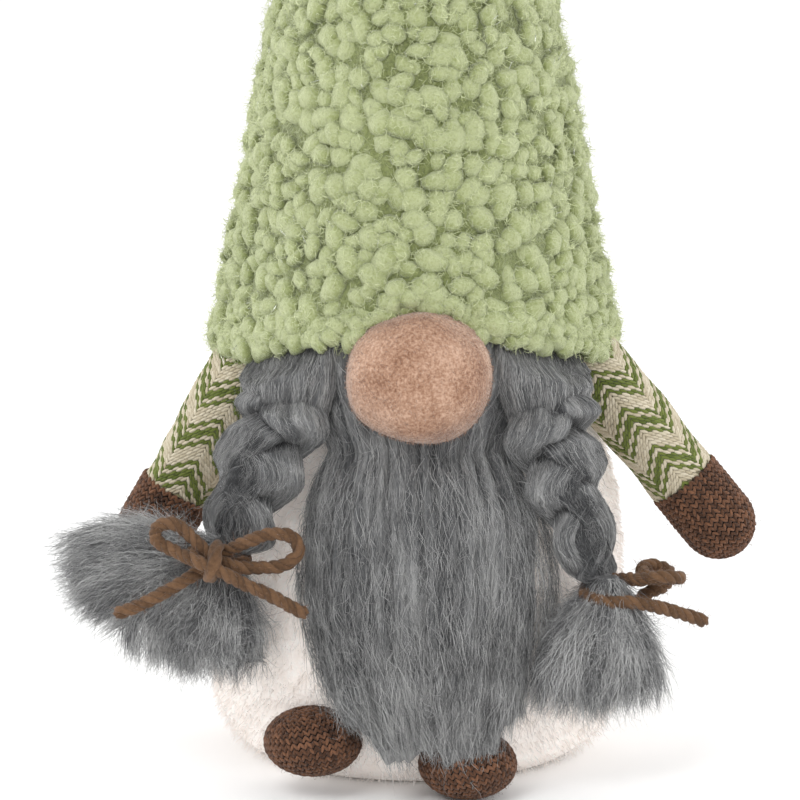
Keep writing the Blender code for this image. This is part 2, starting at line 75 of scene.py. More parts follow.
# Bows: middle of each plait's neck, and the yarn's route as (across, forward, up) from it, as in the CAD.
NECKS = {"left": np.array((-57.5, -54, 70)) * MM, "right": np.array((56, -55, 61)) * MM}
KNOT_MIDDLE = np.array((-1.0, -15.6, 2.4)) * MM
BOW_ROUTES = {
    "left": (
        (-30, 11, -14.5), (-22, 12.5, -11), (-13, 13, -6), (-5, 12, -1.5), (3, 8.8, -0.7), (7.8, 2, -0.6),
        (5.5, -5.8, -0.4), (0, -8, 0), (-5.5, -5.8, 0.6), (-8, 1.5, 1.6), (-5, 7.8, 3), (1.5, 10.4, 4.2),
        (8, 13, 7.4), (15, 13.2, 10), (21.5, 13, 9.2), (23.6, 12.8, 4.8), (19.5, 12.9, 0.8), (12, 13.2, 0),
        (5, 14.2, 0.6), (-2, 15, 4.2), (-7, 14.4, 9), (-12, 13.4, 13), (-17, 13, 12.4), (-17.6, 13, 8.2),
        (-12, 14.8, 5.2), (-5.5, 18.6, 3), (1, 20, 0.6), (8, 18.8, -3.6), (15, 17.6, -7), (26, 18, -13)),
    "right": (
        (29.5, -1, -10.5), (22.5, 1.5, -7.6), (14.5, 4.5, -4.6), (7.6, 6, -3), (1, 6.9, -2.6),
        (-4.5, 4.8, -2), (-6.5, 0, -1.2), (-4.8, -4.6, -0.2), (0.5, -6.6, 0.8), (5.6, -4.6, 1.6),
        (10, -0.5, 2.4), (15.5, 3.4, 4.2), (20.5, 1.6, 3.4), (21, -3.8, 2.2), (16, -6.2, 1.4),
        (11.4, -8.6, 1.6), (11, -14, 2.6), (14.5, -18.4, 2.4), (19, -16.6, 0.6),
        (17.5, -11.8, -2.2), (12.5, -9.6, -3.8), (9.4, -10.4, -7), (9.4, -12.4, -12),
        (11, -13.4, -17)),
}


# ---------------------------------------------------------------- small tools


def unit(vectors):
    """Vectors scaled to length 1, along the last axis."""
    return vectors / np.maximum(np.linalg.norm(vectors, axis=-1, keepdims=True), 1e-12)


def ripple(points, size, seed, count=6):
    """Smooth pseudo-random values, about -1 to 1, that change over the given size in metres."""
    rng = np.random.default_rng(seed)
    directions = unit(rng.normal(size=(count, 3))) * math.tau / size * rng.uniform(0.6, 1.5, (count, 1))
    phases = rng.uniform(0, math.tau, count)
    return np.sin(points @ directions.T + phases).sum(-1) / math.sqrt(count) * 0.8


def grid_ripple(rings, size, seed, count=6):
    """ripple() at each point of a grid, in the grid's own shape."""
    return ripple(rings.reshape(-1, 3), size, seed, count).reshape(rings.shape[:-1])


def smoothstep(low, high, value):
    part = np.clip((value - low) / (high - low), 0, 1)
    return part * part * (3 - 2 * part)


def curve_points(points, count):
    """Evenly spaced points along a smooth curve through a few points (Catmull-Rom)."""
    points = np.asarray(points, float)
    padded = np.vstack((points[:1], points, points[-1:]))
    t = np.linspace(0, len(points) - 1, 40 * len(points))
    span = np.minimum(t.astype(int), len(points) - 2)
    u = (t - span)[:, None]
    p0, p1, p2, p3 = (padded[span + k] for k in range(4))
    fine = 0.5 * (2 * p1 + (p2 - p0) * u + (2 * p0 - 5 * p1 + 4 * p2 - p3) * u**2
                  + (3 * p1 - p0 - 3 * p2 + p3) * u**3)
    lengths = distance_along(fine)
    wanted = np.linspace(0, lengths[-1], count)
    return np.stack([np.interp(wanted, lengths, fine[:, k]) for k in range(3)], -1)


def distance_along(points):
    """Distance from the start to each point of a line, or to each row of a grid (mean over its columns)."""
    steps = np.linalg.norm(np.diff(points, axis=0), axis=-1)
    return np.concatenate(([0], np.cumsum(steps if steps.ndim == 1 else steps.mean(1))))


def girths(rings):
    """Length round each ring of a grid."""
    return np.linalg.norm(rings - np.roll(rings, -1, 1), axis=2).sum(1)


def cad_points(*nodes):
    """Every distinct vertex of some CAD nodes."""
    found = [np.array([tuple(v.co) for v in frame["nodes"][node].data.vertices]) for node in nodes]
    return np.unique(np.round(np.vstack(found), 6), axis=0)


def joint_place(name):
    return np.array(next(joint for joint in frame["joints"] if joint["name"] == name)["pos_m"])


def cad_tree(node):
    mesh = frame["nodes"][node].data
    return BVHTree.FromPolygons([v.co for v in mesh.vertices], [list(p.vertices) for p in mesh.polygons])


def hit_distance(tree, origin, direction, reach=0.5):
    """Distance from origin to the first surface along a direction, or None."""
    return tree.ray_cast(Vector(origin), Vector(direction), reach)[3]


# ---------------------------------------------------------------- meshes from arrays


def add_mesh(name, verts, quads=None, tris=None, fields=None):
    """A smooth mesh object from arrays, with named per-vertex values for its material to read."""
    quads = np.zeros((0, 4), np.int32) if quads is None else np.asarray(quads, np.int32)
    tris = np.zeros((0, 3), np.int32) if tris is None else np.asarray(tris, np.int32)
    verts = np.asarray(verts, np.float32).reshape(-1, 3)
    mesh = bpy.data.meshes.new(name)
    mesh.vertices.add(len(verts))
    mesh.vertices.foreach_set("co", verts.ravel())
    mesh.loops.add(quads.size + tris.size)
    mesh.loops.foreach_set("vertex_index", np.concatenate((quads.ravel(), tris.ravel())))
    mesh.polygons.add(len(quads) + len(tris))
    starts = np.concatenate((np.arange(len(quads)) * 4, quads.size + np.arange(len(tris)) * 3))
    mesh.polygons.foreach_set("loop_start", starts.astype(np.int32))
    mesh.update(calc_edges=True)
    mesh.shade_smooth()
    for field, values in (fields or {}).items():
        values = np.asarray(values, np.float32)
        kind = "FLOAT_VECTOR" if values.ndim == 2 else "FLOAT"
        attribute = mesh.attributes.new(field, kind, "POINT")
        attribute.data.foreach_set("vector" if values.ndim == 2 else "value", values.ravel())
    obj = bpy.data.objects.new(name, mesh)
    bpy.context.scene.collection.objects.link(obj)
    return obj


def grid_quads(rows, columns):
    """Faces of a grid of vertices that closes on itself across its columns."""
    index = np.arange(rows * columns).reshape(rows, columns)
    right = np.roll(index, -1, 1)
    return np.stack((index[:-1], right[:-1], right[1:], index[1:]), -1).reshape(-1, 4)


def fan(ring, point, flip):
    after = np.roll(ring, -1)
    tris = np.stack((ring, after, np.full(len(ring), point)), -1)
    return tris[:, ::-1] if flip else tris


def add_skin(name, rings, fields=None, low=None, high=None):
    """A closed skin over rings (rows, columns, 3), with a point at each end where one is given."""
    rows, columns = rings.shape[:2]
    verts = rings.reshape(-1, 3)
    tris = []
    fields = {key: np.asarray(value).reshape(rows * columns, *np.shape(value)[2:])
              for key, value in (fields or {}).items()}
    for point, row, flip in ((low, 0, True), (high, rows - 1, False)):
        if point is not None:
            ring = row * columns + np.arange(columns)
            tris.append(fan(ring, len(verts), flip))
            verts = np.vstack((verts, point))
            fields = {key: np.concatenate((value, value[ring[:1]])) for key, value in fields.items()}
    return add_mesh(name, verts, grid_quads(rows, columns), np.vstack(tris) if tris else None, fields)


def tube_arrays(paths, radii, sides):
    """Vertices, quads and end triangles of many tapered tubes, from their middle lines and radii."""
    count, points = paths.shape[:2]
    tangents = unit(np.gradient(paths, axis=1))
    aside = np.zeros((count, 1, 3)) + np.array((0.31, 0.87, 0.38))
    first = unit(np.cross(tangents, aside))
    second = np.cross(tangents, first)
    turns = np.arange(sides) * math.tau / sides
    rings = (first[:, :, None] * np.cos(turns)[:, None] + second[:, :, None] * np.sin(turns)[:, None])
    verts = paths[:, :, None] + rings * np.broadcast_to(radii, (count, points))[:, :, None, None]
    index = np.arange(count * points * sides).reshape(count, points, sides)
    right = np.roll(index, -1, 2)
    quads = np.stack((index[:, :-1], right[:, :-1], right[:, 1:], index[:, 1:]), -1).reshape(-1, 4)
    ends = []
    for k in range(1, sides - 1):
        ends.append(np.stack((index[:, 0, 0], index[:, 0, k + 1], index[:, 0, k]), -1))
        ends.append(np.stack((index[:, -1, 0], index[:, -1, k], index[:, -1, k + 1]), -1))
    return verts.reshape(-1, 3), quads, np.vstack(ends)


def add_fibres(name, paths, thickness, seed, sides=3, tone=None):
    """Fine tapered fibres as one mesh, with one "tone" value for each fibre."""
    rng = np.random.default_rng(seed)
    count, points = paths.shape[:2]
    paths = np.concatenate((paths[..., :2], np.maximum(paths[..., 2:], 0.3 * MM)), -1)
    along = np.linspace(0, 1, points)
    taper = 1 - 0.85 * along**3
    radii = thickness / 2 * taper[None] * rng.uniform(0.7, 1.25, (count, 1))
    verts, quads, tris = tube_arrays(paths, radii, sides)
    tone = rng.uniform(0, 1, count) if tone is None else tone
    return add_mesh(name, verts, quads, tris, {"tone": np.repeat(tone, points * sides)})


def grid_normals(rings):
    """Outward directions of a closed grid of points."""
    along = np.gradient(rings, axis=0)
    around = np.roll(rings, -1, 1) - np.roll(rings, 1, 1)
    normals = unit(np.cross(around, along))
    outward = rings - rings.mean(1, keepdims=True)
    return normals * np.sign((normals * outward).sum())


def lay_fibres(name, rings, count, length, seed, thickness=0.15 * MM, proud=0.35 * MM, crimp=0.3 * MM,
               points=8, fly=0.1, fly_reach=2.5 * MM, overhang=0.0, rows_used=(0.0, 1.0), painted_shade_and_tone=None):
    """Crimped fibres laid along a grid's columns. Some fly off it, and some overhang its last row."""
    rng = np.random.default_rng(seed)
    rows, columns = rings.shape[:2]
    normals = grid_normals(rings)
    spacing = np.linalg.norm(np.diff(rings, axis=0), axis=2).mean(1)
    girth = girths(rings)[:-1]
    middle = np.arange(rows - 1) / (rows - 1)
    weight = spacing * girth * ((middle >= rows_used[0]) & (middle <= rows_used[1]))
    start = rng.choice(rows - 1, count, p=weight / weight.sum()) + rng.uniform(size=count)
    span = rng.uniform(*length, count) / np.maximum(spacing[start.astype(int)], 0.05 * MM)
    s = np.linspace(-0.5, 0.5, points)[None]
    row = start[:, None] + np.minimum(span, rows * 0.6)[:, None] * s
    last = rows - 1.001
    ragged = rng.uniform(0.1, 1.2, (count, 1))
    beyond = np.maximum(row - last, 0) * spacing[-8:].mean()
    row = np.clip(row, 0, last)
    column = rng.uniform(0, columns, (count, 1)) + rng.normal(0, 0.02 * columns, (count, 1)) * s
    low, left = row.astype(int), np.floor(column).astype(int)
    down, across = (row - low)[..., None], (column - left)[..., None]
    left, right = left % columns, (left + 1) % columns
    upper = rings[low, left] * (1 - across) + rings[low, right] * across
    lower = rings[low + 1, left] * (1 - across) + rings[low + 1, right] * across
    normal = normals[low, left]
    run = unit(lower - upper)
    side = np.cross(normal, run)
    phase = rng.uniform(0, math.tau, (count, 1)) + rng.uniform(7, 19, (count, 1)) * s
    size = crimp * rng.uniform(0.4, 1.3, (count, 1))
    flying = (rng.uniform(size=(count, 1)) < fly) * rng.uniform(0.2, 1, (count, 1)) * fly_reach
    lift = proud * rng.uniform(0, 1, (count, 1)) + flying * (s + 0.5) ** 1.5
    lift = lift + size * 0.5 * np.cos(phase * 1.3)
    drift = flying * rng.normal(0, 0.8, (count, 1)) * (s + 0.5)
    paths = upper * (1 - down) + lower * down + normal * lift[..., None]
    paths = paths + side * (size * np.sin(phase) + drift)[..., None]
    ragged = ragged * (0.65 + 0.35 * np.sin(column[:, :1] / columns * 44 + seed))
    paths = paths + (run + normal * 0.25) * np.minimum(beyond, overhang * ragged)[..., None]
    tone = rng.uniform(0, 1, count)
    at = low[:, points // 2], left[:, points // 2]
    # Painted shade: fibres over a darker place of the darkening field get a darker tone.
    if painted_shade_and_tone is not None:
        tone = tone - 0.4 * painted_shade_and_tone[at]
    pitch = np.linalg.norm(lower - upper, axis=-1)[:, points // 2]
    kept = pitch > 0.45 * spacing[at[0]]        # none where the grid folds up inside a tight bend
    return add_fibres(name, paths[kept], thickness, seed + 1, tone=tone[kept])


def hair_paths(roots, lean, reach, points):
    """Straight paths from roots along lean: reach is the shortest and longest length, then the generator."""
    low, high, rng = reach
    t = np.linspace(0, 1, points)[None, :, None]
    return roots[:, None] + lean[:, None] * t * rng.uniform(low, high, (len(roots), 1, 1)) * MM


def loose_hairs(name, spots, normals, count, reach, seed, thickness=0.09 * MM):
    """Single curly hairs that stand off a surface."""
    rng = np.random.default_rng(seed)
    pick = rng.integers(0, len(spots), count)
    t = np.linspace(0, 1, 7)[None, :, None]
    lean = unit(normals[pick] + rng.normal(0, 0.7, (count, 3)))
    aside = unit(np.cross(lean, rng.normal(size=(count, 3))))
    other = np.cross(lean, aside)
    length = rng.uniform(*reach, (count, 1, 1))
    turn = t * rng.uniform(3, 9, (count, 1, 1)) + rng.uniform(0, math.tau, (count, 1, 1))
    curl = length * rng.uniform(0.08, 0.2, (count, 1, 1)) * t**0.5
    paths = spots[pick][:, None] + lean[:, None] * t * length
    paths = paths + (aside[:, None] * np.sin(turn) + other[:, None] * np.cos(turn)) * curl
    return add_fibres(name, paths, thickness, seed + 1)


def wool_relief(across, along, layer, seed):
    """Soft ridges that run with the wool, in metres, from places across and along it."""
    points = np.stack(np.broadcast_arrays(across, along * 0.13, layer), -1)
    broad = grid_ripple(points, 8 * MM, seed) * 0.75
    fine = grid_ripple(points, 2.6 * MM, seed + 1) * 0.28 + grid_ripple(points, 1.1 * MM, seed + 2) * 0.12
    return (broad + fine) * MM


def add_wool(name, rings, material, body, seed, replaces=(), relief=1.0, painted_shade_and_tone=None):
    """A closed wool mass over a grid whose rows run with the fibres, with ridges and a "flow" field."""
    around = np.linalg.norm(np.roll(rings, -1, 1) - rings, axis=2).max(0).cumsum()
    along = distance_along(rings)
    layer = seed * 7 * MM
    ridges = wool_relief(around[None], along[:, None], layer, seed) * relief
    part = np.linspace(0, 1, len(rings))
    ends = smoothstep(0, 0.08, part) * smoothstep(0, 0.05, 1 - part)
    shaped = rings + grid_normals(rings) * (ridges * ends[:, None])[..., None]
    flow = np.stack(np.broadcast_arrays(around[None], along[:, None], layer), -1)
    # An optional field darkens the colour: painted shade in the plaits' creases and the tassels' grooves, and
    # lock tone in the beard.
    fields = {"flow": flow} if painted_shade_and_tone is None else {"flow": flow, "painted_shade_and_tone": painted_shade_and_tone}
    obj = add_skin(name, shaped, fields, low=shaped[0].mean(0), high=shaped[-1].mean(0))
    finish_piece(obj, material, body, replaces)
    return obj, shaped


def grain_template():
    """A unit rice-grain shape along X: vertices, quads and end triangles."""
    turns = np.arange(6) * math.tau / 6
    rings = []
    for x, r in ((-0.78, 0.62), (0.0, 1.0), (0.78, 0.62)):
        rings.append(np.stack((np.full(6, x), r * np.cos(turns), r * np.sin(turns)), -1))
    verts = np.vstack((*rings, ((-1, 0, 0), (1, 0, 0))))
    ring = np.arange(6)
    return verts, grid_quads(3, 6), np.vstack((fan(ring, 18, True), fan(ring + 12, 19, False)))


@functools.cache
def ball_template():
    """A unit ball: vertices and triangles."""
    ball = bmesh.new()
    bmesh.ops.create_icosphere(ball, subdivisions=2, radius=1.0)
    verts = np.array([tuple(vertex.co) for vertex in ball.verts])
    tris = np.array([[vertex.index for vertex in face.verts] for face in ball.faces])
    ball.free()
    return verts, tris


def add_stitches(name, centres, directions, normals, size, tone):
    """Many grains of yarn lying on a surface: size is (length, width, height) for each or for all."""
    shape, quads, tris = grain_template()
    along = unit(directions)
    up = unit(normals - along * (normals * along).sum(-1, keepdims=True))
    across = np.cross(up, along)
    size = np.broadcast_to(size, (len(centres), 3)) / 2
    verts = centres[:, None] + sum(
        shape[None, :, k, None] * axis[:, None] * size[:, k, None, None]
        for k, axis in enumerate((along, across, up)))
    shift = (np.arange(len(centres)) * len(shape))[:, None, None]
    return add_mesh(name, verts, (quads[None] + shift).reshape(-1, 4), (tris[None] + shift).reshape(-1, 3),
                    {"tone": np.repeat(tone, len(shape))})


# ---------------------------------------------------------------- materials


def rgb(red, green, blue):
    """Linear colour from display values 0 to 255."""
    shown = (c / 255 for c in (red, green, blue))
    return tuple(c / 12.92 if c <= 0.04 else ((c + 0.055) / 1.055) ** 2.4 for c in shown)


class Shader:
    """A Principled material and short ways to add nodes to it."""

    def __init__(self, name, roughness=0.9, sheen=0.0, sheen_roughness=0.5):
        self.material = bpy.data.materials.new(name)
        self.material.use_nodes = True
        self.tree = self.material.node_tree
        self.principled = self.tree.nodes["Principled BSDF"]
        self.principled.inputs["Roughness"].default_value = roughness
        self.principled.inputs["Sheen Weight"].default_value = sheen
        self.principled.inputs["Sheen Roughness"].default_value = sheen_roughness
        self.principled.inputs["Specular IOR Level"].default_value = 0.25

    def feed(self, socket, value):
        """Links an output to a socket, or sets the socket's own value."""
        if hasattr(value, "links"):
            self.tree.links.new(value, socket)
        else:
            socket.default_value = value

    def node(self, kind, **inputs):
        made = self.tree.nodes.new(kind)
        for key, value in inputs.items():
            self.feed(made.inputs[key], value)
        return made

    def field(self, name, output="Fac"):
        made = self.tree.nodes.new("ShaderNodeAttribute")
        made.attribute_name = name
        return made.outputs[output]

    def place(self):
        return self.tree.nodes.new("ShaderNodeTexCoord").outputs["Object"]

    def noise(self, scale, detail=3.0, vector=None, roughness=0.55):
        made = self.node("ShaderNodeTexNoise", Scale=scale, Detail=detail, Roughness=roughness)
        self.tree.links.new(vector or self.place(), made.inputs["Vector"])
        return made.outputs["Fac"]

    def math(self, operation, a, b):
        made = self.tree.nodes.new("ShaderNodeMath")
        made.operation = operation
        self.feed(made.inputs[0], a)
        self.feed(made.inputs[1], b)
        return made.outputs[0]

    def blend(self, a, a_share, b, b_share):
        """Weighted sum of two outputs."""
        return self.math("ADD", self.math("MULTIPLY", a, a_share), self.math("MULTIPLY", b, b_share))

    def ramp(self, factor, stops):
        made = self.tree.nodes.new("ShaderNodeValToRGB")
        elements = made.color_ramp.elements
        while len(elements) < len(stops):
            elements.new(0.5)
        for element, (position, colour) in zip(elements, stops):
            element.position = position
            element.color = (*colour, 1.0)
        self.tree.links.new(factor, made.inputs["Fac"])
        return made.outputs["Color"]

    def glow(self, colour, strength):
        """A little added light, for the many bounces between pale fibres that the render leaves out."""
        self.principled.inputs["Emission Color"].default_value = (*colour, 1.0)
        self.principled.inputs["Emission Strength"].default_value = strength

    def bump(self, height, distance):
        made = self.node("ShaderNodeBump", Height=height, Distance=distance, Strength=1.0)
        self.tree.links.new(made.outputs["Normal"], self.principled.inputs["Normal"])

    def finish(self, factor, *stops, relief=None):
        """The material, coloured by a factor's ramp, with relief as (height output, depth in metres)."""
        self.tree.links.new(self.ramp(factor, stops), self.principled.inputs["Base Color"])
        if relief:
            self.bump(*relief)
        return self.material


def sherpa_material():
    shader = Shader("sherpa_pile", sheen=0.9)
    shader.principled.inputs["Sheen Tint"].default_value = (0.88, 0.92, 0.72, 1.0)
    shader.glow(rgb(168, 180, 112), 0.06)
    # Painted shade: the "depth" field paints the crevices between nubs dark olive and the nub tops pale; the
    # patches and curls are the pile's own tone.
    depth = shader.field("depth")
    patch = shader.noise(60, 3)
    curls = shader.noise(1100, 5, roughness=0.7)
    factor = shader.math("ADD", depth, shader.math("SUBTRACT", shader.blend(patch, 0.4, curls, 1.3), 0.9))
    return shader.finish(factor, (0.1, rgb(84, 94, 40)), (0.4, rgb(126, 136, 74)), (0.7, rgb(158, 168, 108)),
                         (1.0, rgb(190, 198, 148)), relief=(curls, 1.4 * MM))


def fuzz_material(name, dark, light, sheen=0.3, glow=0.0):
    """Fibres whose shade changes from one to the next and a little along each."""
    shader = Shader(name, sheen=sheen)
    shader.glow(light, glow)
    tone = shader.field("tone")
    drift = shader.math("MULTIPLY", shader.math("SUBTRACT", shader.noise(110, 2), 0.5), 1.1)
    middle = tuple((a + b) / 2 for a, b in zip(dark, light))
    return shader.finish(shader.math("ADD", tone, drift), (0.0, dark), (0.5, middle), (1.0, light))


def wool_core_material(name, dark, middle, light):
    """Fine crimped streaks along the wool, read from the "flow" field: places across it, then along it."""
    shader = Shader(name, sheen=0.25)
    flow = shader.field("flow", "Vector")
    wave = shader.node("ShaderNodeTexNoise", Scale=420.0, Detail=2.0, Vector=flow)
    crimped = shader.tree.nodes.new("ShaderNodeVectorMath")
    crimped.operation = "MULTIPLY_ADD"
    for socket, value in zip(crimped.inputs, (wave.outputs["Color"], (1.6 * MM, 0, 0), flow)):
        shader.feed(socket, value)
    along = shader.node("ShaderNodeMapping", Vector=crimped.outputs["Vector"], Scale=(1.0, 0.1, 1.0))
    hairs = shader.noise(3600, 3, along.outputs["Vector"], 0.75)
    locks = shader.noise(300, 3, along.outputs["Vector"])
    # Painted shade: the core is coloured darker where its darkening field is high, as in the plaits' creases
    # and the tassels' grooves; in the beard that field holds lock tone.
    painted_shade_and_tone = shader.math("MULTIPLY", shader.field("painted_shade_and_tone"), 0.16)
    factor = shader.math("SUBTRACT", shader.blend(hairs, 0.5, locks, 0.5), painted_shade_and_tone)
    return shader.finish(factor, (0.36, dark), (0.5, middle), (0.64, light), relief=(factor, 0.6 * MM))


def plush_material(name, dark, light, glow=0.0):
    shader = Shader(name, sheen=0.3)
    shader.glow(light, glow)
    pile = shader.noise(900, 4)
    return shader.finish(shader.noise(220, 4), (0.3, dark), (0.7, light), relief=(pile, 0.6 * MM))


def velour_material():
    shader = Shader("velour", sheen=0.55, sheen_roughness=0.35)
    nap = shader.noise(1100, 5, roughness=0.7)
    return shader.finish(shader.blend(nap, 0.65, shader.noise(70, 3), 0.35), (0.38, rgb(122, 86, 66)),
                         (0.5, rgb(162, 126, 103)), (0.62, rgb(196, 162, 140)), relief=(nap, 0.35 * MM))


def yarn_material(name, dark, light, fibre_scale=900, sheen=0.12):
    """Spun yarn: one shade for each stitch or ply, broken up by fine fibres."""
    shader = Shader(name, sheen=sheen)
    tone = shader.field("tone")
    fibre = shader.noise(fibre_scale, 4, roughness=0.7)
    factor = shader.blend(tone, 0.45, fibre, 0.6)
    return shader.finish(factor, (0.2, dark), (0.85, light), relief=(fibre, 0.3 * MM))


def woven_material():
    """Cream and olive floats: the tone of a float is under 0.5 for cream and over it for olive."""
    shader = Shader("woven_floats", sheen=0.15)
    tone = shader.field("tone")
    fibre = shader.math("MULTIPLY", shader.math("SUBTRACT", shader.noise(1300, 3), 0.5), 0.3)
    return shader.finish(shader.math("ADD", tone, fibre),
                         (0.0, rgb(170, 158, 132)), (0.42, rgb(206, 197, 176)),
                         (0.56, rgb(112, 122, 60)), (1.0, rgb(78, 90, 34)),
                         relief=(shader.noise(1500, 3), 0.2 * MM))


def tinsel_material():
    shader = Shader("tinsel", roughness=0.25)
    shader.principled.inputs["Metallic"].default_value = 1.0
    return shader.finish(shader.noise(500, 1), (0.3, (0.75, 0.78, 0.74)), (0.7, (0.95, 0.96, 0.93)))


def card_material():
    shader = Shader("card", roughness=0.8)
    grain = shader.noise(1200, 3)
    return shader.finish(shader.noise(300, 6), (0.3, rgb(165, 140, 110)), (0.7, rgb(196, 172, 140)),
                         relief=(grain, 0.1 * MM))


def pellet_material():
    shader = Shader("pellets", roughness=0.5)
    cells = shader.node("ShaderNodeTexVoronoi", Scale=260.0, Vector=shader.place())
    # Painted shade: each pellet is coloured darker from its middle out to its rim, where it meets the next
    # pellet.
    edge = cells.outputs["Distance"]
    return shader.finish(edge, (0.0, (0.75, 0.75, 0.73)), (0.6, (0.45, 0.45, 0.44)), relief=(edge, 0.8 * MM))


def finish_piece(obj, material, body, replaces=()):
    """A piece's material, body, slot and the CAD nodes that it stands for. One to be blended has no body."""
    obj.data.materials.append(material)
    if body:
        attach(obj, body)
    if replaces:
        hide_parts(*replaces)
    return obj


# ---------------------------------------------------------------- camera


def add_camera():
    camera = bpy.data.objects.new("camera", bpy.data.cameras.new("camera"))
    bpy.context.scene.collection.objects.link(camera)
    backwards = Vector((0, -math.cos(CAMERA_ELEVATION), math.sin(CAMERA_ELEVATION)))
    camera.location = CAMERA_AIM + backwards * CAMERA_DISTANCE
    camera.rotation_euler = backwards.to_track_quat("Z", "Y").to_euler()
    camera.data.sensor_width = SENSOR
    camera.data.lens = SENSOR * CAMERA_DISTANCE / CAMERA_FIELD
    bpy.context.scene.camera = camera


# ---------------------------------------------------------------- bows


def add_knot(middle, material):
    """The turn of yarn that holds the left bow's crossing, as a ring of three plies."""
    angle = np.linspace(0, math.tau, 60, endpoint=False)
    sine, cosine = np.sin(angle), np.cos(angle)
    ring = middle + np.stack((0.9 * MM * sine, 4.6 * MM * cosine, 4.3 * MM * sine), -1)
    out = unit(ring - middle)
    turns = np.linspace(0, math.tau, 30, endpoint=False)
    shape = 1 + 0.13 * np.cos(3 * (turns[None] + angle[:, None] * 1.67))
    around = out[:, None] * np.cos(turns)[:, None] + np.array((1.0, 0, 0)) * np.sin(turns)[:, None]
    verts = ring[:, None] + 2.0 * MM * shape[..., None] * around
    index = np.arange(60 * 30).reshape(60, 30)
    down, right = np.roll(index, -1, 0), np.roll(index, -1, 1)
    quads = np.stack((index, right, np.roll(down, -1, 1), down), -1).reshape(-1, 4)
    tone = 0.5 + 0.25 * np.cos(turns[None] + angle[:, None] * 1.67)
    knot = add_mesh("left_bow_knot", verts, quads, None, {"tone": tone.ravel()})
    return finish_piece(knot, material, "left_plait")


def add_bow(side, material, hair_material):
    """One yarn of three plies, tied round the plait's neck."""
    neck = NECKS[side]
    route = [neck + np.array((u, -w, v)) * MM for u, w, v in BOW_ROUTES[side]]
    length = np.linalg.norm(np.diff(curve_points(route, 400), axis=0), axis=1).sum()
    line = curve_points(route, int(length / (0.7 * MM)))
    tangents = unit(np.gradient(line, axis=0))
    first = unit(np.cross(tangents, (0.2, 0.5, 0.84)))
    second = np.cross(tangents, first)
    turn = np.linspace(0, length, len(line)) / (8.5 * MM) * math.tau
    plies = []
    for k in range(3):
        angle = (turn + k * math.tau / 3)[:, None]
        plies.append(line + 0.95 * MM * (first * np.cos(angle) + second * np.sin(angle)))
    paths = np.stack(plies)
    steps = np.arange(len(line))
    swell = 1 + 0.07 * np.sin(steps * 0.9) + 0.05 * np.sin(steps * 0.37)
    ends = smoothstep(-0.5, 2.5, np.minimum(steps, steps[::-1]))
    verts, quads, tris = tube_arrays(paths, 1.12 * MM * swell * (0.35 + 0.65 * ends), 10)
    tone = np.repeat((0.35, 0.55, 0.75), len(line) * 10)
    bow = add_mesh(f"{side}_bow", verts, quads, tris, {"tone": tone})
    finish_piece(bow, material, f"{side}_plait", [f"{side}_bow_yarn"])

    rng = np.random.default_rng(41 if side == "left" else 42)
    count = 900
    at = rng.integers(0, len(line), count)
    around = rng.uniform(0, math.tau, (count, 1))
    out = first[at] * np.cos(around) + second[at] * np.sin(around)
    lie = unit(out * 0.7 + tangents[at] * rng.choice((-1, 1), (count, 1)) + rng.normal(0, 0.4, (count, 3)))
    reach = rng.uniform(0.8, 2.4, (count, 1, 1)) * MM
    t = np.linspace(0, 1, 4)[None, :, None]
    roots = line[at] + out * 1.7 * MM
    paths = roots[:, None] + lie[:, None] * t * reach + out[:, None] * t**2 * reach * 0.4
    hairs = add_fibres(f"{side}_bow_hairs", paths, 0.1 * MM, 43)
    finish_piece(hairs, hair_material, f"{side}_plait")
    if side == "left":
        add_knot(neck + KNOT_MIDDLE, material)


# ---------------------------------------------------------------- hat

HAT_NUB_PITCH = 6.0 * MM
HAT_NUB_HEIGHT = 3.2 * MM
NUBS_PER_PIECE = 600
FUZZ_PIECES = 6
FUZZ_PER_PIECE = 9500
TINSEL_ENDS = 700


@functools.cache
def hat_shape():
    """Brim height by azimuth, and outside radius by height, read from the CAD hat."""
    points = cad_points("hat_cover")
    azimuth = np.arctan2(points[:, 0], -points[:, 1])
    radius = np.hypot(points[:, 0], points[:, 1])
    steps = np.linspace(-math.pi, math.pi, 33)
    brim = []
    for step in steps:
        apart = np.abs((azimuth - step + math.pi) % math.tau - math.pi)
        brim.append(points[(apart < 0.05) & (radius > 0.03), 2].min())
    tree = cad_tree("hat_cover")
    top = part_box("hat_cover")[1].z
    heights = np.linspace(max(brim) + 2 * MM, top - 2 * MM, 120)
    side = [0.3 - (hit_distance(tree, (0, 0.3, z), (0, -1, 0)) or 0.3) for z in heights]
    heights = np.concatenate((heights, [top]))
    side = np.concatenate((side, [0.0]))
    low = side[0] + (side[0] - side[12]) / (heights[12] - heights[0]) * (heights[0] - min(brim))
    heights = np.concatenate(([min(brim)], heights))
    side = np.concatenate(([low], side))
    return steps, np.array(brim), heights, side, top


def tuck_under_brim(points):
    """Points near the brim, pulled in so that they run up inside the hat."""
    steps, brim, heights, side, _ = hat_shape()
    azimuth = np.arctan2(points[..., 0], -points[..., 1])
    above = points[..., 2] - np.interp(azimuth, steps, brim)
    allowed = np.interp(points[..., 2], heights, side)
    allowed = allowed + np.interp(above / MM, (-11, -3.5, 3), (14, -0.5, -8)) * MM
    radius = np.hypot(points[..., 0], points[..., 1])
    shrink = np.minimum(1, allowed / np.maximum(radius, 1 * MM))
    return points * np.stack((shrink, shrink, np.ones_like(shrink)), -1)


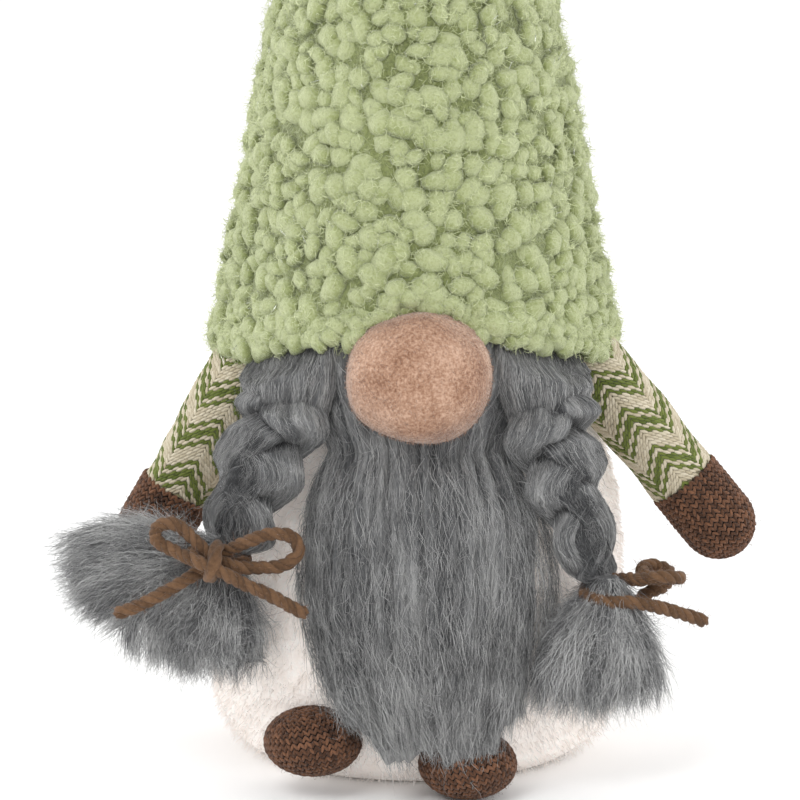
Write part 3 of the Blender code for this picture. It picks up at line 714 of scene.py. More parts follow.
def soft_brim(azimuth):
    """Height of the pile's lower edge: the CAD brim, fuller beside the nose than the cut cloth under it."""
    steps, brim, _, _, _ = hat_shape()
    edge = np.interp(azimuth, steps, brim)
    degrees = (0, 12, 18, 26, 42, 54, 66, 80)
    drop = np.interp(np.degrees(np.abs(azimuth)), degrees, (-1.5, -3.5, -3, 1.5, 3.5, 2, 1, 1))
    return edge + drop * MM


def hat_place(azimuth, z):
    """Points on the hat's outside and their outward directions."""
    _, _, heights, side, _ = hat_shape()
    radius = np.interp(z, heights, side)
    slope = (np.interp(z + 2 * MM, heights, side) - np.interp(z - 2 * MM, heights, side)) / (4 * MM)
    points = np.stack((radius * np.sin(azimuth), -radius * np.cos(azimuth), z), -1)
    return points, unit(np.stack((np.sin(azimuth), -np.cos(azimuth), -slope), -1))


def thinner_pile(z):
    """How much closer to its core the hat's pile lies in the upper part, short of the rounded tip."""
    top = hat_shape()[-1]
    return smoothstep(170 * MM, 235 * MM, z) * smoothstep(0, 30 * MM, top - z) * 1.8 * MM


def nub_places():
    """Irregular places for the pile's nubs all over the hat, their outward directions and sizes."""
    rng = np.random.default_rng(7)
    _, brim, heights, side, top = hat_shape()
    azimuth, z, size = [], [], []
    level = brim.min() + 1.5 * MM
    while level < top - 2 * MM:
        girth = math.tau * max(np.interp(level, heights, side), 1 * MM)
        count = max(3, round(girth / HAT_NUB_PITCH))
        turn = (np.arange(count) + rng.uniform(-0.36, 0.36, count) + rng.uniform()) * math.tau / count
        azimuth.append((turn + math.pi) % math.tau - math.pi)
        z.append(level + rng.uniform(-0.4, 0.4, count) * HAT_NUB_PITCH)
        size.append(rng.uniform(0.7, 1.3, count))
        level += HAT_NUB_PITCH * 0.86
    azimuth, z, size = (np.concatenate(group) for group in (azimuth, z, size))
    kept = z > soft_brim(azimuth) + 4 * MM
    hem = np.arange(88) / 88 * math.tau - math.pi + rng.uniform(-0.02, 0.02, 88)
    azimuth = np.concatenate((azimuth[kept], hem, hem + 0.036))
    hem_z = soft_brim(hem) + rng.uniform(0.6, 3.0, 88) * MM
    z = np.concatenate((z[kept], hem_z, hem_z + 3.4 * MM))
    size = np.concatenate((size[kept], rng.uniform(0.75, 1.2, 88), rng.uniform(0.8, 1.25, 88)))
    points, outward = hat_place(azimuth, z)
    sunk = rng.uniform(-0.9, 1.5, len(z)) * MM
    points = points - outward * (HAT_NUB_HEIGHT * size - 0.8 * MM + thinner_pile(z) + sunk)[:, None]
    return lift_off_nose(points, outward), outward, size


def lift_off_nose(points, outward):
    """Nubs that would sink into the nose are laid on it."""
    nose = cad_tree("nose_cover")
    for i, point in enumerate(points):
        if point[1] < -30 * MM and point[2] < 152 * MM:
            place, normal, _, distance = nose.find_nearest(Vector(point))
            inside = (Vector(point) - place).dot(normal) < 0
            wanted = 1.6 * MM
            if inside or distance < wanted:
                points[i] = np.array(place + normal * wanted)
                outward[i] = unit(outward[i] + np.array(normal) * 0.7)
    return points


def make_hat(pile, fuzz, tinsel):
    top = hat_shape()[-1]
    azimuth = np.linspace(-math.pi, math.pi, 260, endpoint=False)
    edge = soft_brim(azimuth) + 2 * MM
    part = np.linspace(0, 1, 190)[:, None]
    z = edge + (top - 1.5 * MM - edge) * part
    rings, outward = hat_place(azimuth + 0 * z, z)
    hollow = grid_ripple(rings, 5 * MM, 31) * 0.4 * MM
    rings = rings + outward * (hollow - thinner_pile(z) - 1.9 * MM)[..., None]
    lining = rings[:1] * np.array((0.93, 0.93, 1)) + UP * 2 * MM
    rings = np.concatenate((lining, rings))
    # Painted shade: the core under the nubs gets a fixed low "depth", so it is coloured like the shaded
    # crevices.
    base = add_skin("hat_pile", rings, {"depth": np.zeros(rings.shape[:2]) + 0.38}, high=rings[-1].mean(0))
    finish_piece(base, pile, "root", ["hat_cover"])

    centres, outward, size = nub_places()
    rng = np.random.default_rng(8)
    lying = unit(np.cross(outward, rng.normal(size=centres.shape)))
    outward = unit(outward + rng.normal(0, 0.22, centres.shape))
    lying = unit(lying - outward * (lying * outward).sum(-1, keepdims=True))
    across = np.cross(outward, lying)
    stretch = rng.uniform(1.0, 1.42, len(centres))
    half = HAT_NUB_PITCH * 0.6 * size
    ball, tris = ball_template()
    verts = []
    for axis, k, reach in ((lying, 0, half * stretch), (across, 1, half / stretch**0.5),
                           (outward, 2, HAT_NUB_HEIGHT * size)):
        verts.append(ball[None, :, k, None] * axis[:, None] * reach[:, None, None])
    ways = unit(sum(verts))
    verts = centres[:, None] + sum(verts)
    lumps = grid_ripple(verts, 3.4 * MM, 32, 9) * 0.42 + grid_ripple(verts, 1.5 * MM, 33, 9) * 0.16
    verts = verts + ways * lumps[..., None] * MM
    # Painted shade and light: 0 where a nub's surface faces sideways into the crevices between nubs, 1 where
    # it faces out; the pile's colour is darker towards 0 and lighter towards 1.
    painted_top_light = smoothstep(-0.5, 0.85, (ways * outward[:, None]).sum(-1))
    order = np.argsort(centres[:, 2])
    for number, group in enumerate(np.array_split(order, math.ceil(len(order) / NUBS_PER_PIECE)), start=1):
        shift = (np.arange(len(group)) * len(ball))[:, None, None]
        nubs = add_mesh(f"hat_nubs_{number}", verts[group], None, (tris[None] + shift).reshape(-1, 3),
                        {"depth": painted_top_light[group].ravel()})
        finish_piece(nubs, pile, "root")

    showing = np.flatnonzero(painted_top_light.ravel() > 0.4)
    spots, normals, painted_top_light = verts.reshape(-1, 3), ways.reshape(-1, 3), painted_top_light.ravel()
    for number in range(1, FUZZ_PIECES + 1):
        pick = rng.choice(showing, FUZZ_PER_PIECE, replace=False)
        add_hat_fuzz(f"hat_fuzz_{number}", spots[pick], normals[pick], painted_top_light[pick], fuzz, rng)
    pick = rng.choice(showing, TINSEL_ENDS, replace=False)
    drift = unit(normals[pick] * 0.5 + rng.normal(0, 1, (TINSEL_ENDS, 3)))
    paths = hair_paths(spots[pick], drift, (1.5, 4, rng), 4)
    finish_piece(add_fibres("hat_tinsel", paths, 0.22 * MM, 10), tinsel, "root")


def add_hat_fuzz(name, spots, normals, depth, material, rng):
    """Fine curly ends that stand off the nubs."""
    count = len(spots)
    t = np.linspace(0, 1, 4)[None, :, None]
    lean = unit(normals + rng.normal(0, 0.85, (count, 3)))
    aside = unit(np.cross(lean, rng.normal(size=(count, 3))))
    reach = rng.uniform(0.9, 3.1, (count, 1, 1)) * MM
    curl = rng.uniform(0.4, 1.3, (count, 1, 1)) * MM
    phase = rng.uniform(0, math.tau, (count, 1, 1))
    swing = np.sin(t * 5 + phase) - np.sin(phase)
    paths = spots[:, None] + lean[:, None] * t * reach + aside[:, None] * swing * curl
    # Painted light: fuzz on the nubs' tops gets a lighter tone than fuzz towards the crevices.
    tone = np.clip(depth * 0.7 + rng.uniform(0, 0.4, count), 0, 1)
    finish_piece(add_fibres(name, paths, 0.16 * MM, 11, tone=tone), material, "root")


# ---------------------------------------------------------------- body and nose

FUR_PER_PIECE = 9500


@functools.cache
def body_profile():
    """Outside radius of the plush body by height, read from the CAD cover."""
    tree = cad_tree("body_cover")
    low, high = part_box("body_cover")
    heights = np.linspace(low.z + 0.3 * MM, high.z - 2 * MM, 90)
    radii = [0.3 - (hit_distance(tree, (0, 0.3, z), (0, -1, 0)) or 0.3) for z in heights]
    return heights, np.array(radii)


def make_body(cloth, fur):
    heights, radii = body_profile()
    columns = 160
    azimuth = np.linspace(0, math.tau, columns, endpoint=False)
    inset = 2.6 * MM
    z = np.concatenate(([2.2 * MM, heights[0]], heights))
    radius = np.concatenate(([radii[0] - 5 * MM, radii[0] - 2.4 * MM], radii)) - inset * 0.5
    rings = np.stack((radius[:, None] * np.sin(azimuth), -radius[:, None] * np.cos(azimuth),
                      z[:, None] + 0 * azimuth), -1)
    out = unit(rings * np.array((1, 1, 0.0)))
    uneven = grid_ripple(rings, 45 * MM, 51) * 0.9 + grid_ripple(rings, 16 * MM, 52) * 0.45
    held = smoothstep(0, 12 * MM, rings[:, :, 2])
    rings = rings + out * (uneven * held * MM)[:, :, None]
    body = add_skin("body_plush", rings, low=(0, 0, 2.2 * MM), high=(0, 0, z[-1] + 1 * MM))
    finish_piece(body, cloth, "root", ["body_cover"])

    rng = np.random.default_rng(53)
    weight = np.interp(z, heights, radii)[2:-1]
    for letter, seed in (("a", 54), ("b", 55), ("c", 56)):
        row = rng.choice(np.arange(2, len(z) - 1), FUR_PER_PIECE, p=weight / weight.sum())
        row = row[z[row] < 132 * MM]
        column = rng.integers(0, columns, len(row))
        jitter = rng.uniform(-1.3, 1.3, (len(row), 3)) * MM
        roots = rings[row, column] + jitter * np.array((1, 1, 0.6))
        normal = out[row, column]
        above = ((roots - rings[row, column]) * normal).sum(-1, keepdims=True)
        roots = roots - normal * above - normal * 0.3 * MM
        clump = np.stack([ripple(roots, 9 * MM, seed) for seed in (57, 58, 59)], -1)
        lean = unit(normal * 0.8 + clump * 0.25 + rng.normal(0, 0.3, (len(row), 3)) - UP * 0.5)
        t = np.linspace(0, 1, 3)[None, :, None]
        reach = rng.uniform(1.4, 3.0, (len(row), 1, 1)) * MM
        paths = roots[:, None] + lean[:, None] * t * reach - UP * t**2 * reach * 0.35
        finish_piece(add_fibres(f"body_fur_{letter}", paths, 0.24 * MM, seed), fur, "root")


def bulb_frame(node):
    """Middle, axes and radii of a stuffed bulb that points away from the body's centre."""
    points = cad_points(node)
    forward = unit(points.mean(0) * np.array((1, 1, 0)))
    across = np.cross(UP, forward)
    radius_across = np.ptp(points @ across) / 2
    radius_up = np.ptp(points @ UP) / 2
    middle = (forward * ((points @ forward).max() - radius_across) + across * (points @ across).mean()
              + UP * ((points @ UP).max() + (points @ UP).min()) / 2)
    return middle, forward, across, radius_across, radius_up


def bulb_rings(frame_parts, rows, columns, square=2.0):
    """Rings of the bulb from back to tip, with the outward direction at each point."""
    middle, forward, across, wide, tall = frame_parts
    angle = np.linspace(-math.pi / 2, math.pi / 2, rows + 2)[1:-1, None]
    turn = np.linspace(0, math.tau, columns, endpoint=False)[None]
    power = 2 / square
    c, s = np.cos(turn), np.sin(turn)
    side_part = np.sign(c) * np.abs(c) ** power
    up_part = np.sign(s) * np.abs(s) ** power
    ring = np.cos(angle) ** power
    rings = (middle + (np.sin(angle) * wide)[..., None] * forward
             + (ring * side_part * wide)[..., None] * across + (ring * up_part * tall)[..., None] * UP)
    out = unit(rings - middle)
    return rings, out


def make_nose(material, nap_material):
    parts = bulb_frame("nose_cover")
    rings, out = bulb_rings(parts, 90, 150, 2.15)
    lumps = grid_ripple(rings, 30 * MM, 61) * 0.7 + grid_ripple(rings, 2.2 * MM, 62) * 0.08
    rings = rings + out * lumps[..., None] * MM
    nose = add_skin("nose", rings, low=rings[0].mean(0), high=rings[-1].mean(0) + parts[1] * 0.05 * MM)
    finish_piece(nose, material, "root", ["nose_cover"])
    rng = np.random.default_rng(63)
    count = 9000
    pick = rng.integers(0, rings.shape[0], count), rng.integers(0, rings.shape[1], count)
    keep = rng.uniform(size=count) < np.cos(np.linspace(-math.pi / 2, math.pi / 2, rings.shape[0]))[pick[0]]
    pick = pick[0][keep], pick[1][keep]
    count = len(pick[0])
    lean = unit(out[pick] + rng.normal(0, 0.35, (count, 3)) - UP * 0.5)
    roots = rings[pick] + rng.normal(0, 0.15, (count, 3)) * MM
    paths = hair_paths(roots, lean, (0.4, 0.8, rng), 3)
    finish_piece(add_fibres("nose_nap", paths, 0.14 * MM, 64), nap_material, "root")


# ---------------------------------------------------------------- knit feet and mittens

KNIT_PITCH = 2.1 * MM


def grid_place(rings, out, row, column):
    """A point of a grid at a fractional row and column, with its outward, along and across directions."""
    rows, columns = rings.shape[:2]
    row = min(row, rows - 1.001)
    base, left = int(row), int(column) % columns
    right = (left + 1) % columns
    mix = column - int(column)
    low = rings[base, left] * (1 - mix) + rings[base, right] * mix
    high = rings[base + 1, left] * (1 - mix) + rings[base + 1, right] * mix
    across = unit(rings[base, right] - rings[base, left])
    return low + (high - low) * (row - base), out[base, left], unit(high - low), across


def knit_over(name, rings, out, material, body, seed):
    """Plain knit over a shape given as rings: columns of V stitches, half a pitch apart from row to row."""
    rng = np.random.default_rng(seed)
    rows, columns = rings.shape[:2]
    along, girth = distance_along(rings), girths(rings)
    full = max(8, round(girth.max() / KNIT_PITCH))
    centres, directions, normals, sizes = [], [], [], []
    for a in np.arange(0.4 * KNIT_PITCH, along[-1] - 0.2 * MM, KNIT_PITCH * 0.86):
        row = np.interp(a, along, np.arange(rows))
        around = np.interp(a, along, girth)
        count = full if around > full * KNIT_PITCH * 0.6 else max(5, full // 2)
        if around < full * KNIT_PITCH * 0.28:
            count = max(5, full // 4)
        width = around / count
        for k in range(count):
            for sign in (-1, 1):
                at = (k + 0.5 + sign * 0.24) / count * columns
                place, normal, forward, across = grid_place(rings, out, row, at)
                centres.append(place + normal * 0.15 * MM)
                directions.append(forward - sign * across * 0.62)
                normals.append(normal)
                sizes.append((KNIT_PITCH * 1.25, width * 0.56, KNIT_PITCH * 0.62))
    sizes = np.array(sizes) * rng.uniform(0.92, 1.1, (len(sizes), 1))
    stitches = add_stitches(name, np.array(centres), np.array(directions), np.array(normals), sizes,
                            rng.uniform(0, 1, len(centres)))
    finish_piece(stitches, material, body)
    return np.array(centres), np.array(normals)


def add_knit_hairs(name, centres, normals, material, body, seed):
    rng = np.random.default_rng(seed)
    count = 700
    pick = rng.integers(0, len(centres), count)
    lean = unit(normals[pick] * 0.6 + rng.normal(0, 0.8, (count, 3)))
    roots = centres[pick] + normals[pick] * 0.4 * MM + rng.normal(0, 0.5, (count, 3)) * MM
    paths = hair_paths(roots, lean, (0.5, 1.4, rng), 4)
    finish_piece(add_fibres(name, paths, 0.09 * MM, seed + 1), material, body)


def make_foot(side, backing, yarn, hair):
    """An egg-shaped foot, knitted in rounds about a tilted axis so that its rows run across the front."""
    middle, forward, across, wide, tall = bulb_frame(f"{side}_foot_cover")
    tilt = math.radians(16)
    angle = np.linspace(-math.pi / 2, math.pi / 2, 42)[1:-1, None]
    turn = np.linspace(0, math.tau, 72, endpoint=False)
    ring = np.cos(angle)
    sphere = np.stack((ring * np.cos(turn), ring * np.sin(turn), np.sin(angle) + 0 * turn), -1)
    sideways = sphere[..., 0] * math.cos(tilt) - sphere[..., 2] * math.sin(tilt)
    upright = sphere[..., 0] * math.sin(tilt) + sphere[..., 2] * math.cos(tilt)
    parts = sideways[..., None] * across, sphere[..., 1, None] * forward, upright[..., None] * UP
    rings = middle + (parts[0] * wide + parts[1] * wide + parts[2] * tall)
    out = unit(parts[0] / wide + parts[1] / wide + parts[2] / tall)
    rings[..., 2] = np.maximum(rings[..., 2], (middle - UP * (tall - 0.8 * MM))[2])
    inner = rings - out * 0.5 * MM
    foot = add_skin(f"{side}_foot", inner, low=inner[0].mean(0), high=inner[-1].mean(0))
    finish_piece(foot, backing, "root", [f"{side}_foot_cover"])
    centres, normals = knit_over(f"{side}_foot_knit", rings, out, yarn, "root", 71)
    add_knit_hairs(f"{side}_foot_hairs", centres, normals, hair, "root", 72)


# ---------------------------------------------------------------- arms


def arm_frame(side):
    """A straight arm, from the front line of its CAD solids: middle, axis, radius and places along it."""
    pivot = joint_place(f"{side}_shoulder")
    mitten, sleeve = cad_points(f"{side}_mitten"), cad_points(f"{side}_sleeve")
    points = np.vstack((mitten, sleeve))
    line = points[(points[:, 1] < mitten[:, 1].min() + 0.3 * MM) & (points[:, 2] < pivot[2] - 22 * MM)]
    middle = line.mean(0)
    axis = np.linalg.svd(line - middle)[2][0] * np.array((1, 0, 1))
    axis = unit(axis * -np.sign(axis[2]))
    radius = np.ptp(mitten[:, 1]) / 2
    middle[1] += radius
    along = [(group - middle) @ axis for group in (sleeve, mitten)]
    return middle, axis, radius, along[0].min(), along[1].min(), along[1].max()


def arm_rings(middle, axis, stations, radii, columns, squash=0.97):
    front = unit(np.array((0, -1.0, 0)) - axis * -axis[1])
    upper = np.cross(axis, front)
    turn = np.linspace(0, math.tau, columns, endpoint=False)
    out = upper * np.cos(turn)[:, None] + front * np.sin(turn)[:, None] * squash
    rings = middle + stations[:, None, None] * axis + radii[:, None, None] * out[None]
    return rings, np.broadcast_to(unit(out), rings.shape)


def make_arm(side, sleeve_cloth, floats, backing, yarn, hair):
    middle, axis, radius, start, wrist, tip = arm_frame(side)
    body = f"{side}_arm"
    stations = np.linspace(start - 8 * MM, wrist + 1.5 * MM, 68)
    swell = radius * (1 + 0.03 * np.sin(np.linspace(0, 5, 68)))
    rings, out = arm_rings(middle, axis, stations, swell - 0.5 * MM, 72)
    rings = rings + out * grid_ripple(rings, 14 * MM, 81)[..., None] * 0.35 * MM
    sleeve = add_skin(f"{side}_sleeve_cloth", rings, low=rings[0].mean(0), high=rings[-1].mean(0))
    finish_piece(sleeve, sleeve_cloth, None, [f"{side}_sleeve"])
    sleeve_floats = lay_floats(f"{side}_sleeve_floats", rings[:-2], out[:-2])
    finish_piece(sleeve_floats, floats, None)

    centre = tip - radius * 1.05
    flat = np.linspace(wrist, centre, 14, endpoint=False)
    angle = np.linspace(0, math.pi / 2, 22)[:-1]
    stations = np.concatenate((flat, centre + (tip - centre) * np.sin(angle)))
    radii = np.concatenate((np.full(14, 1.0), np.cos(angle))) * radius
    rings, out = arm_rings(middle, axis, stations, radii, 72)
    dome = np.concatenate((np.zeros(14), np.sin(angle)))[:, None, None]
    out = unit(out * (1 - dome) + axis * dome)
    inner = rings - out * 0.5 * MM
    end = middle + axis * (tip - 0.5 * MM)
    mitten = add_skin(f"{side}_mitten_cloth", inner, low=inner[0].mean(0), high=end)
    finish_piece(mitten, backing, body, [f"{side}_mitten"])
    centres, normals = knit_over(f"{side}_mitten_knit", rings, out, yarn, body, 83)
    add_knit_hairs(f"{side}_mitten_hairs", centres, normals, hair, body, 84)
    for piece in (sleeve, sleeve_floats):
        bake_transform(piece)


def lay_floats(name, rings, out):
    """Slanting weft floats in chevrons, with three olive lines for every broad cream band."""
    rng = np.random.default_rng(85)
    rows, columns = rings.shape[:2]
    along = distance_along(rings[:, 0])
    girth = np.linalg.norm(rings[0] - np.roll(rings[0], -1, 0), axis=1).sum()
    pitch = 1.3 * MM
    count = round(girth / pitch)
    chevrons = 4
    wave = 7.5 * MM
    line_step = 1.45 * MM
    pattern = (0, 1, 0, 1, 1, 0, 1, 0, 0, 0)
    centres, directions, normals, tones = [], [], [], []
    for k in range(count):
        phase = (k * chevrons / count) % 1.0
        rise = 1 if phase < 0.5 else -1
        zig = (2 * phase if phase < 0.5 else 2 - 2 * phase) * wave
        first = -wave - (k % 2) * line_step / 2
        for n, a in enumerate(np.arange(first, along[-1] + wave, line_step)):
            if not 0 <= a + zig <= along[-1]:
                continue
            row = np.interp(a + zig, along, np.arange(rows))
            place, normal, forward, across = grid_place(rings, out, row, k / count * columns)
            centres.append(place + normal * 0.25 * MM)
            directions.append(forward * 0.8 + rise * across * 0.6)
            normals.append(normal)
            olive = pattern[n % len(pattern)]
            tones.append(rng.uniform(0.62, 0.95) if olive else rng.uniform(0.1, 0.38))
    size = np.array((2.7, 1.15, 0.95)) * MM * rng.uniform(0.9, 1.1, (len(centres), 1))
    arrays = (np.array(group) for group in (centres, directions, normals))
    return add_stitches(name, *arrays, size, np.array(tones))


# ---------------------------------------------------------------- plaits

PLAIT_TURN = math.radians(20)
PLAIT_FACTS = {
    "left": {"sign": -1, "phase": 0.24, "turns": 1.12, "tip_size": 0.9},
    "right": {"sign": 1, "phase": 0.66, "turns": 1.3, "tip_size": 0.66},
}


def plait_axes(side):
    """Across and facing directions of a plait's and tassel's flat side."""
    sign = PLAIT_FACTS[side]["sign"]
    facing = np.array((sign * math.sin(PLAIT_TURN), -math.cos(PLAIT_TURN), 0.0))
    return np.array((math.cos(PLAIT_TURN), sign * math.sin(PLAIT_TURN), 0.0)), facing


def plait_middle(side, count):
    """Centre line of a plait from its root to its tie, as the middle of its three CAD strands."""
    root, neck = joint_place(f"{side}_plait_swing"), NECKS[side]
    points = cad_points(*(f"{side}_braid_strand_{number}" for number in (1, 2, 3)))
    axis = unit(neck - root)
    s = (points - root) @ axis
    wanted = np.linspace(0, (neck - root) @ axis, 9)
    weight = np.exp(-(((s[None] - wanted[:, None]) / (8 * MM)) ** 2))
    line = (weight @ points) / weight.sum(1, keepdims=True)
    line[0], line[-1] = root, neck
    return curve_points(line, count)


def oval_rings(line, wide, deep, across, facing, columns):
    """Rings of an oval around a line. The flat side faces the facing direction."""
    tangents = unit(np.gradient(line, axis=0))
    front = unit(facing - tangents * (tangents @ facing)[:, None])
    side = unit(across - tangents * (tangents @ across)[:, None])
    side = unit(side - front * (side * front).sum(-1, keepdims=True))
    turn = np.linspace(0, math.tau, columns, endpoint=False)
    return (line[:, None] + side[:, None] * np.cos(turn)[:, None] * wide[:, None, None]
            + front[:, None] * np.sin(turn)[:, None] * deep[:, None, None])


def strand_lines(side, part):
    """Middle line and size of each of a plait's three strands: a flat plait seen from its wider side."""
    facts = PLAIT_FACTS[side]
    across, facing = plait_axes(side)
    middle = plait_middle(side, len(part))
    pinch = 1 - 0.5 * smoothstep(0.94, 1.01, part)
    size = (1 + (facts["tip_size"] - 1) * part) * pinch
    gather = 1 - smoothstep(0.92, 1.0, part)
    found = []
    for number in (0, 1, 2):
        turn = math.tau * (facts["turns"] * part**0.92 + facts["phase"] + number / 3)
        line = (middle + across * (7.9 * MM * size * gather * np.sin(turn))[:, None]
                + facing * (6.0 * MM * size * gather * np.sin(2 * turn))[:, None])
        plump = size * (1 + 0.13 * gather * np.sin(2 * turn))
        found.append((line, plump))
    return found


def crease_shade(rings, others):
    """Painted shade in the creases: 1 where a strand's surface dips behind another strand, 0 where it stands
    clear of them.
    """
    closest = np.full(rings.shape[:2], 9.0)
    for line, size in others:
        for k in range(0, len(line), 2):
            away = np.linalg.norm(rings - line[k], axis=-1) / (7.2 * MM * size[k])
            closest = np.minimum(closest, away)
    return 1 - smoothstep(0.84, 1.06, closest)


def make_plait(side, core, wool):
    body = f"{side}_plait"
    across, facing = plait_axes(side)
    part = np.linspace(0, 1, 90)
    strands = strand_lines(side, part)
    spots, normals = [], []
    for number, (line, size) in enumerate(strands, start=1):
        swing = np.linspace(0, math.tau, 60, endpoint=False)[:, None]
        oval = across * np.cos(swing) * 8.6 * MM + facing * np.sin(swing) * 6.9 * MM
        start = smoothstep(0, 0.17, part)[:, None, None]        # the top end slips in behind the root wool
        rings = line[:, None] - facing * (1 - start) * 9 * MM
        rings = tuck_under_brim(rings + oval * size[:, None, None] * (0.3 + 0.7 * start))
        others = strands[: number - 1] + strands[number:]
        # Painted shade: the strand's wool is coloured darker where it dips behind the other strands.
        painted_shade_and_tone = crease_shade(rings, others)
        _, shaped = add_wool(f"{side}_strand_{number}", rings, core, body, 90 + number,
                             [f"{side}_braid_strand_{number}"], 0.5, painted_shade_and_tone)
        fibres = lay_fibres(f"{side}_strand_fibres_{number}", shaped, 1800, (6 * MM, 13 * MM), 95 + number,
                            thickness=0.12 * MM, fly=0.05, fly_reach=2 * MM, painted_shade_and_tone=painted_shade_and_tone)
        finish_piece(fibres, wool, body)
        spots.append(shaped.reshape(-1, 3))
        normals.append(grid_normals(shaped).reshape(-1, 3))
    spots, normals = np.vstack(spots), np.vstack(normals)
    hairs = loose_hairs(f"{side}_plait_hairs", spots, normals, 300, (2 * MM, 6 * MM), 101)
    finish_piece(hairs, wool, body)


def make_plait_root(side, core, wool):
    """The wool that comes out from under the brim and goes into the top of a plait."""
    sign = PLAIT_FACTS[side]["sign"]
    across, facing = plait_axes(side)
    root = joint_place(f"{side}_plait_swing")
    route = ((sign * 1.5, 12, 16), (sign * 1.5, 6.5, 9), (0, 1, 1),
             (sign * 0.5, -2, -8), (sign * 2.0, -1, -17))
    line = root + curve_points(route, 60) * MM
    part = np.linspace(0, 1, 60)
    wide = np.interp(part, (0, 0.3, 0.6, 0.85, 1), (18, 17, 14.5, 10.5, 4.5)) * MM
    deep = np.interp(part, (0, 0.3, 0.6, 0.85, 1), (5, 6.5, 7, 6, 3)) * MM
    rings = tuck_under_brim(oval_rings(line, wide, deep, across, facing, 90))
    mass, shaped = add_wool(f"{side}_plait_root", rings, core, None, 111, relief=0.9)
    fibres = lay_fibres(f"{side}_plait_root_fibres", shaped, 2600, (7 * MM, 15 * MM), 112,
                        thickness=0.13 * MM, fly=0.1, overhang=5 * MM)
    finish_piece(fibres, wool, None)
    for piece in (mass, fibres):
        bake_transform(piece)


# ---------------------------------------------------------------- tassels and beard

# Each tassel's tufts: middle line (across, up) from the neck, and half width and half depth along it.
TUFTS = {
    "left": (
        {"line": ((0, 1), (-9, -0.5), (-20, -2.5), (-33, -7), (-45, -14)),
         "wide": (4.5, 7, 12, 14, 14), "deep": (4.5, 7, 9, 8, 6)},
        {"line": ((0, -1), (-1, -8), (-4, -16), (-8, -25), (-9, -33)),
         "wide": (4.5, 10.5, 17, 20.5, 20), "deep": (4.5, 8, 10, 9, 6)},
    ),
    "right": (
        {"line": ((0, 3), (-0.5, -5), (-2, -14.5), (-3, -25), (-3.5, -35)),
         "wide": (2.8, 9.5, 15, 18.5, 19), "deep": (2.8, 8.5, 10.5, 9, 6)},
    ),
}


def make_tassel(side, core, wool):
    """Loose ends below the tie: tufts of crimped fibres over a streaked core, each widening to its ends."""
    across, facing = plait_axes(side)
    neck, body = NECKS[side], f"{side}_plait"
    for number, tuft in enumerate(TUFTS[side], start=1):
        seed = 120 + 10 * number + (5 if side == "right" else 0)
        rows, columns = 80, 110
        flat = curve_points([(a, 0, u) for a, u in tuft["line"]], rows) * MM
        line = neck + flat[:, :1] * across + flat[:, 2:] * UP
        part = np.linspace(0, 1, rows)
        stops = np.linspace(0, 1, len(tuft["wide"]))
        upward = unit(np.gradient(line, axis=0))
        aside = unit(np.cross(upward.mean(0), facing))
        swing = np.linspace(0, math.tau, columns, endpoint=False)
        lobes = 1 + (0.11 * np.cos(swing * 5 + seed) + 0.05 * np.cos(swing * 11)) * part[:, None]
        # Painted shade: the wool is coloured darker near the tie and in the grooves between the lobes.
        grooves = (0.5 - 0.5 * np.cos(swing * 5 + seed)) ** 3
        shade = np.maximum(1 - smoothstep(0.04, 0.42, part)[:, None], 0.85 * grooves)
        grids = []
        rounded = np.sqrt(1 - smoothstep(0.4, 1.03, part)) * 0.92
        for closing in (rounded, 1.06 - 0.1 * part, np.full(rows, 0.62)):
            wide, deep = (np.interp(part, stops, tuft[key]) * MM * closing for key in ("wide", "deep"))
            rings = oval_rings(line, wide, deep, aside, facing, columns)
            grids.append(line[:, None] + (rings - line[:, None]) * lobes[..., None])
        replaced = [f"{side}_tassel"] if number == 1 else ()
        _, shaped = add_wool(f"{side}_tuft_{number}", grids[0], core, body, seed, replaced, 1.0, shade)
        layers = ((shaped, 2900, 0.6, 6.0, (0.0, 0.95)), (grids[1], 3300, 1.2, 6.0, (0.25, 0.9)),
                  (grids[2], 1500, 1.5, 8.0, (0.5, 0.95)))
        for layer, (grid, count, proud, overhang, used) in enumerate(layers, start=1):
            fibres = lay_fibres(f"{side}_tuft_fibres_{number}_{layer}", grid, count, (9 * MM, 20 * MM),
                                seed + layer, thickness=0.12 * MM, proud=proud * MM, crimp=0.6 * MM, fly=0.5,
                                fly_reach=5.5 * MM, overhang=overhang * MM, rows_used=used, painted_shade_and_tone=shade)
            finish_piece(fibres, wool, body)
        hairs = loose_hairs(f"{side}_tuft_hairs_{number}", shaped[20:].reshape(-1, 3),
                            grid_normals(shaped)[20:].reshape(-1, 3), 2600, (4 * MM, 12 * MM), seed + 3)
        finish_piece(hairs, wool, body)


def beard_outline():
    """Side edges and front of the CAD beard by height."""
    points = cad_points("beard")
    heights = np.unique(np.round(points[:, 2], 4))
    levels = [points[np.abs(points[:, 2] - z) < 0.1 * MM] for z in heights]
    left, right = (np.array([pick(level[:, 0]) for level in levels]) for pick in (np.min, np.max))
    return heights, left, right, np.array([-level[:, 1].min() for level in levels])


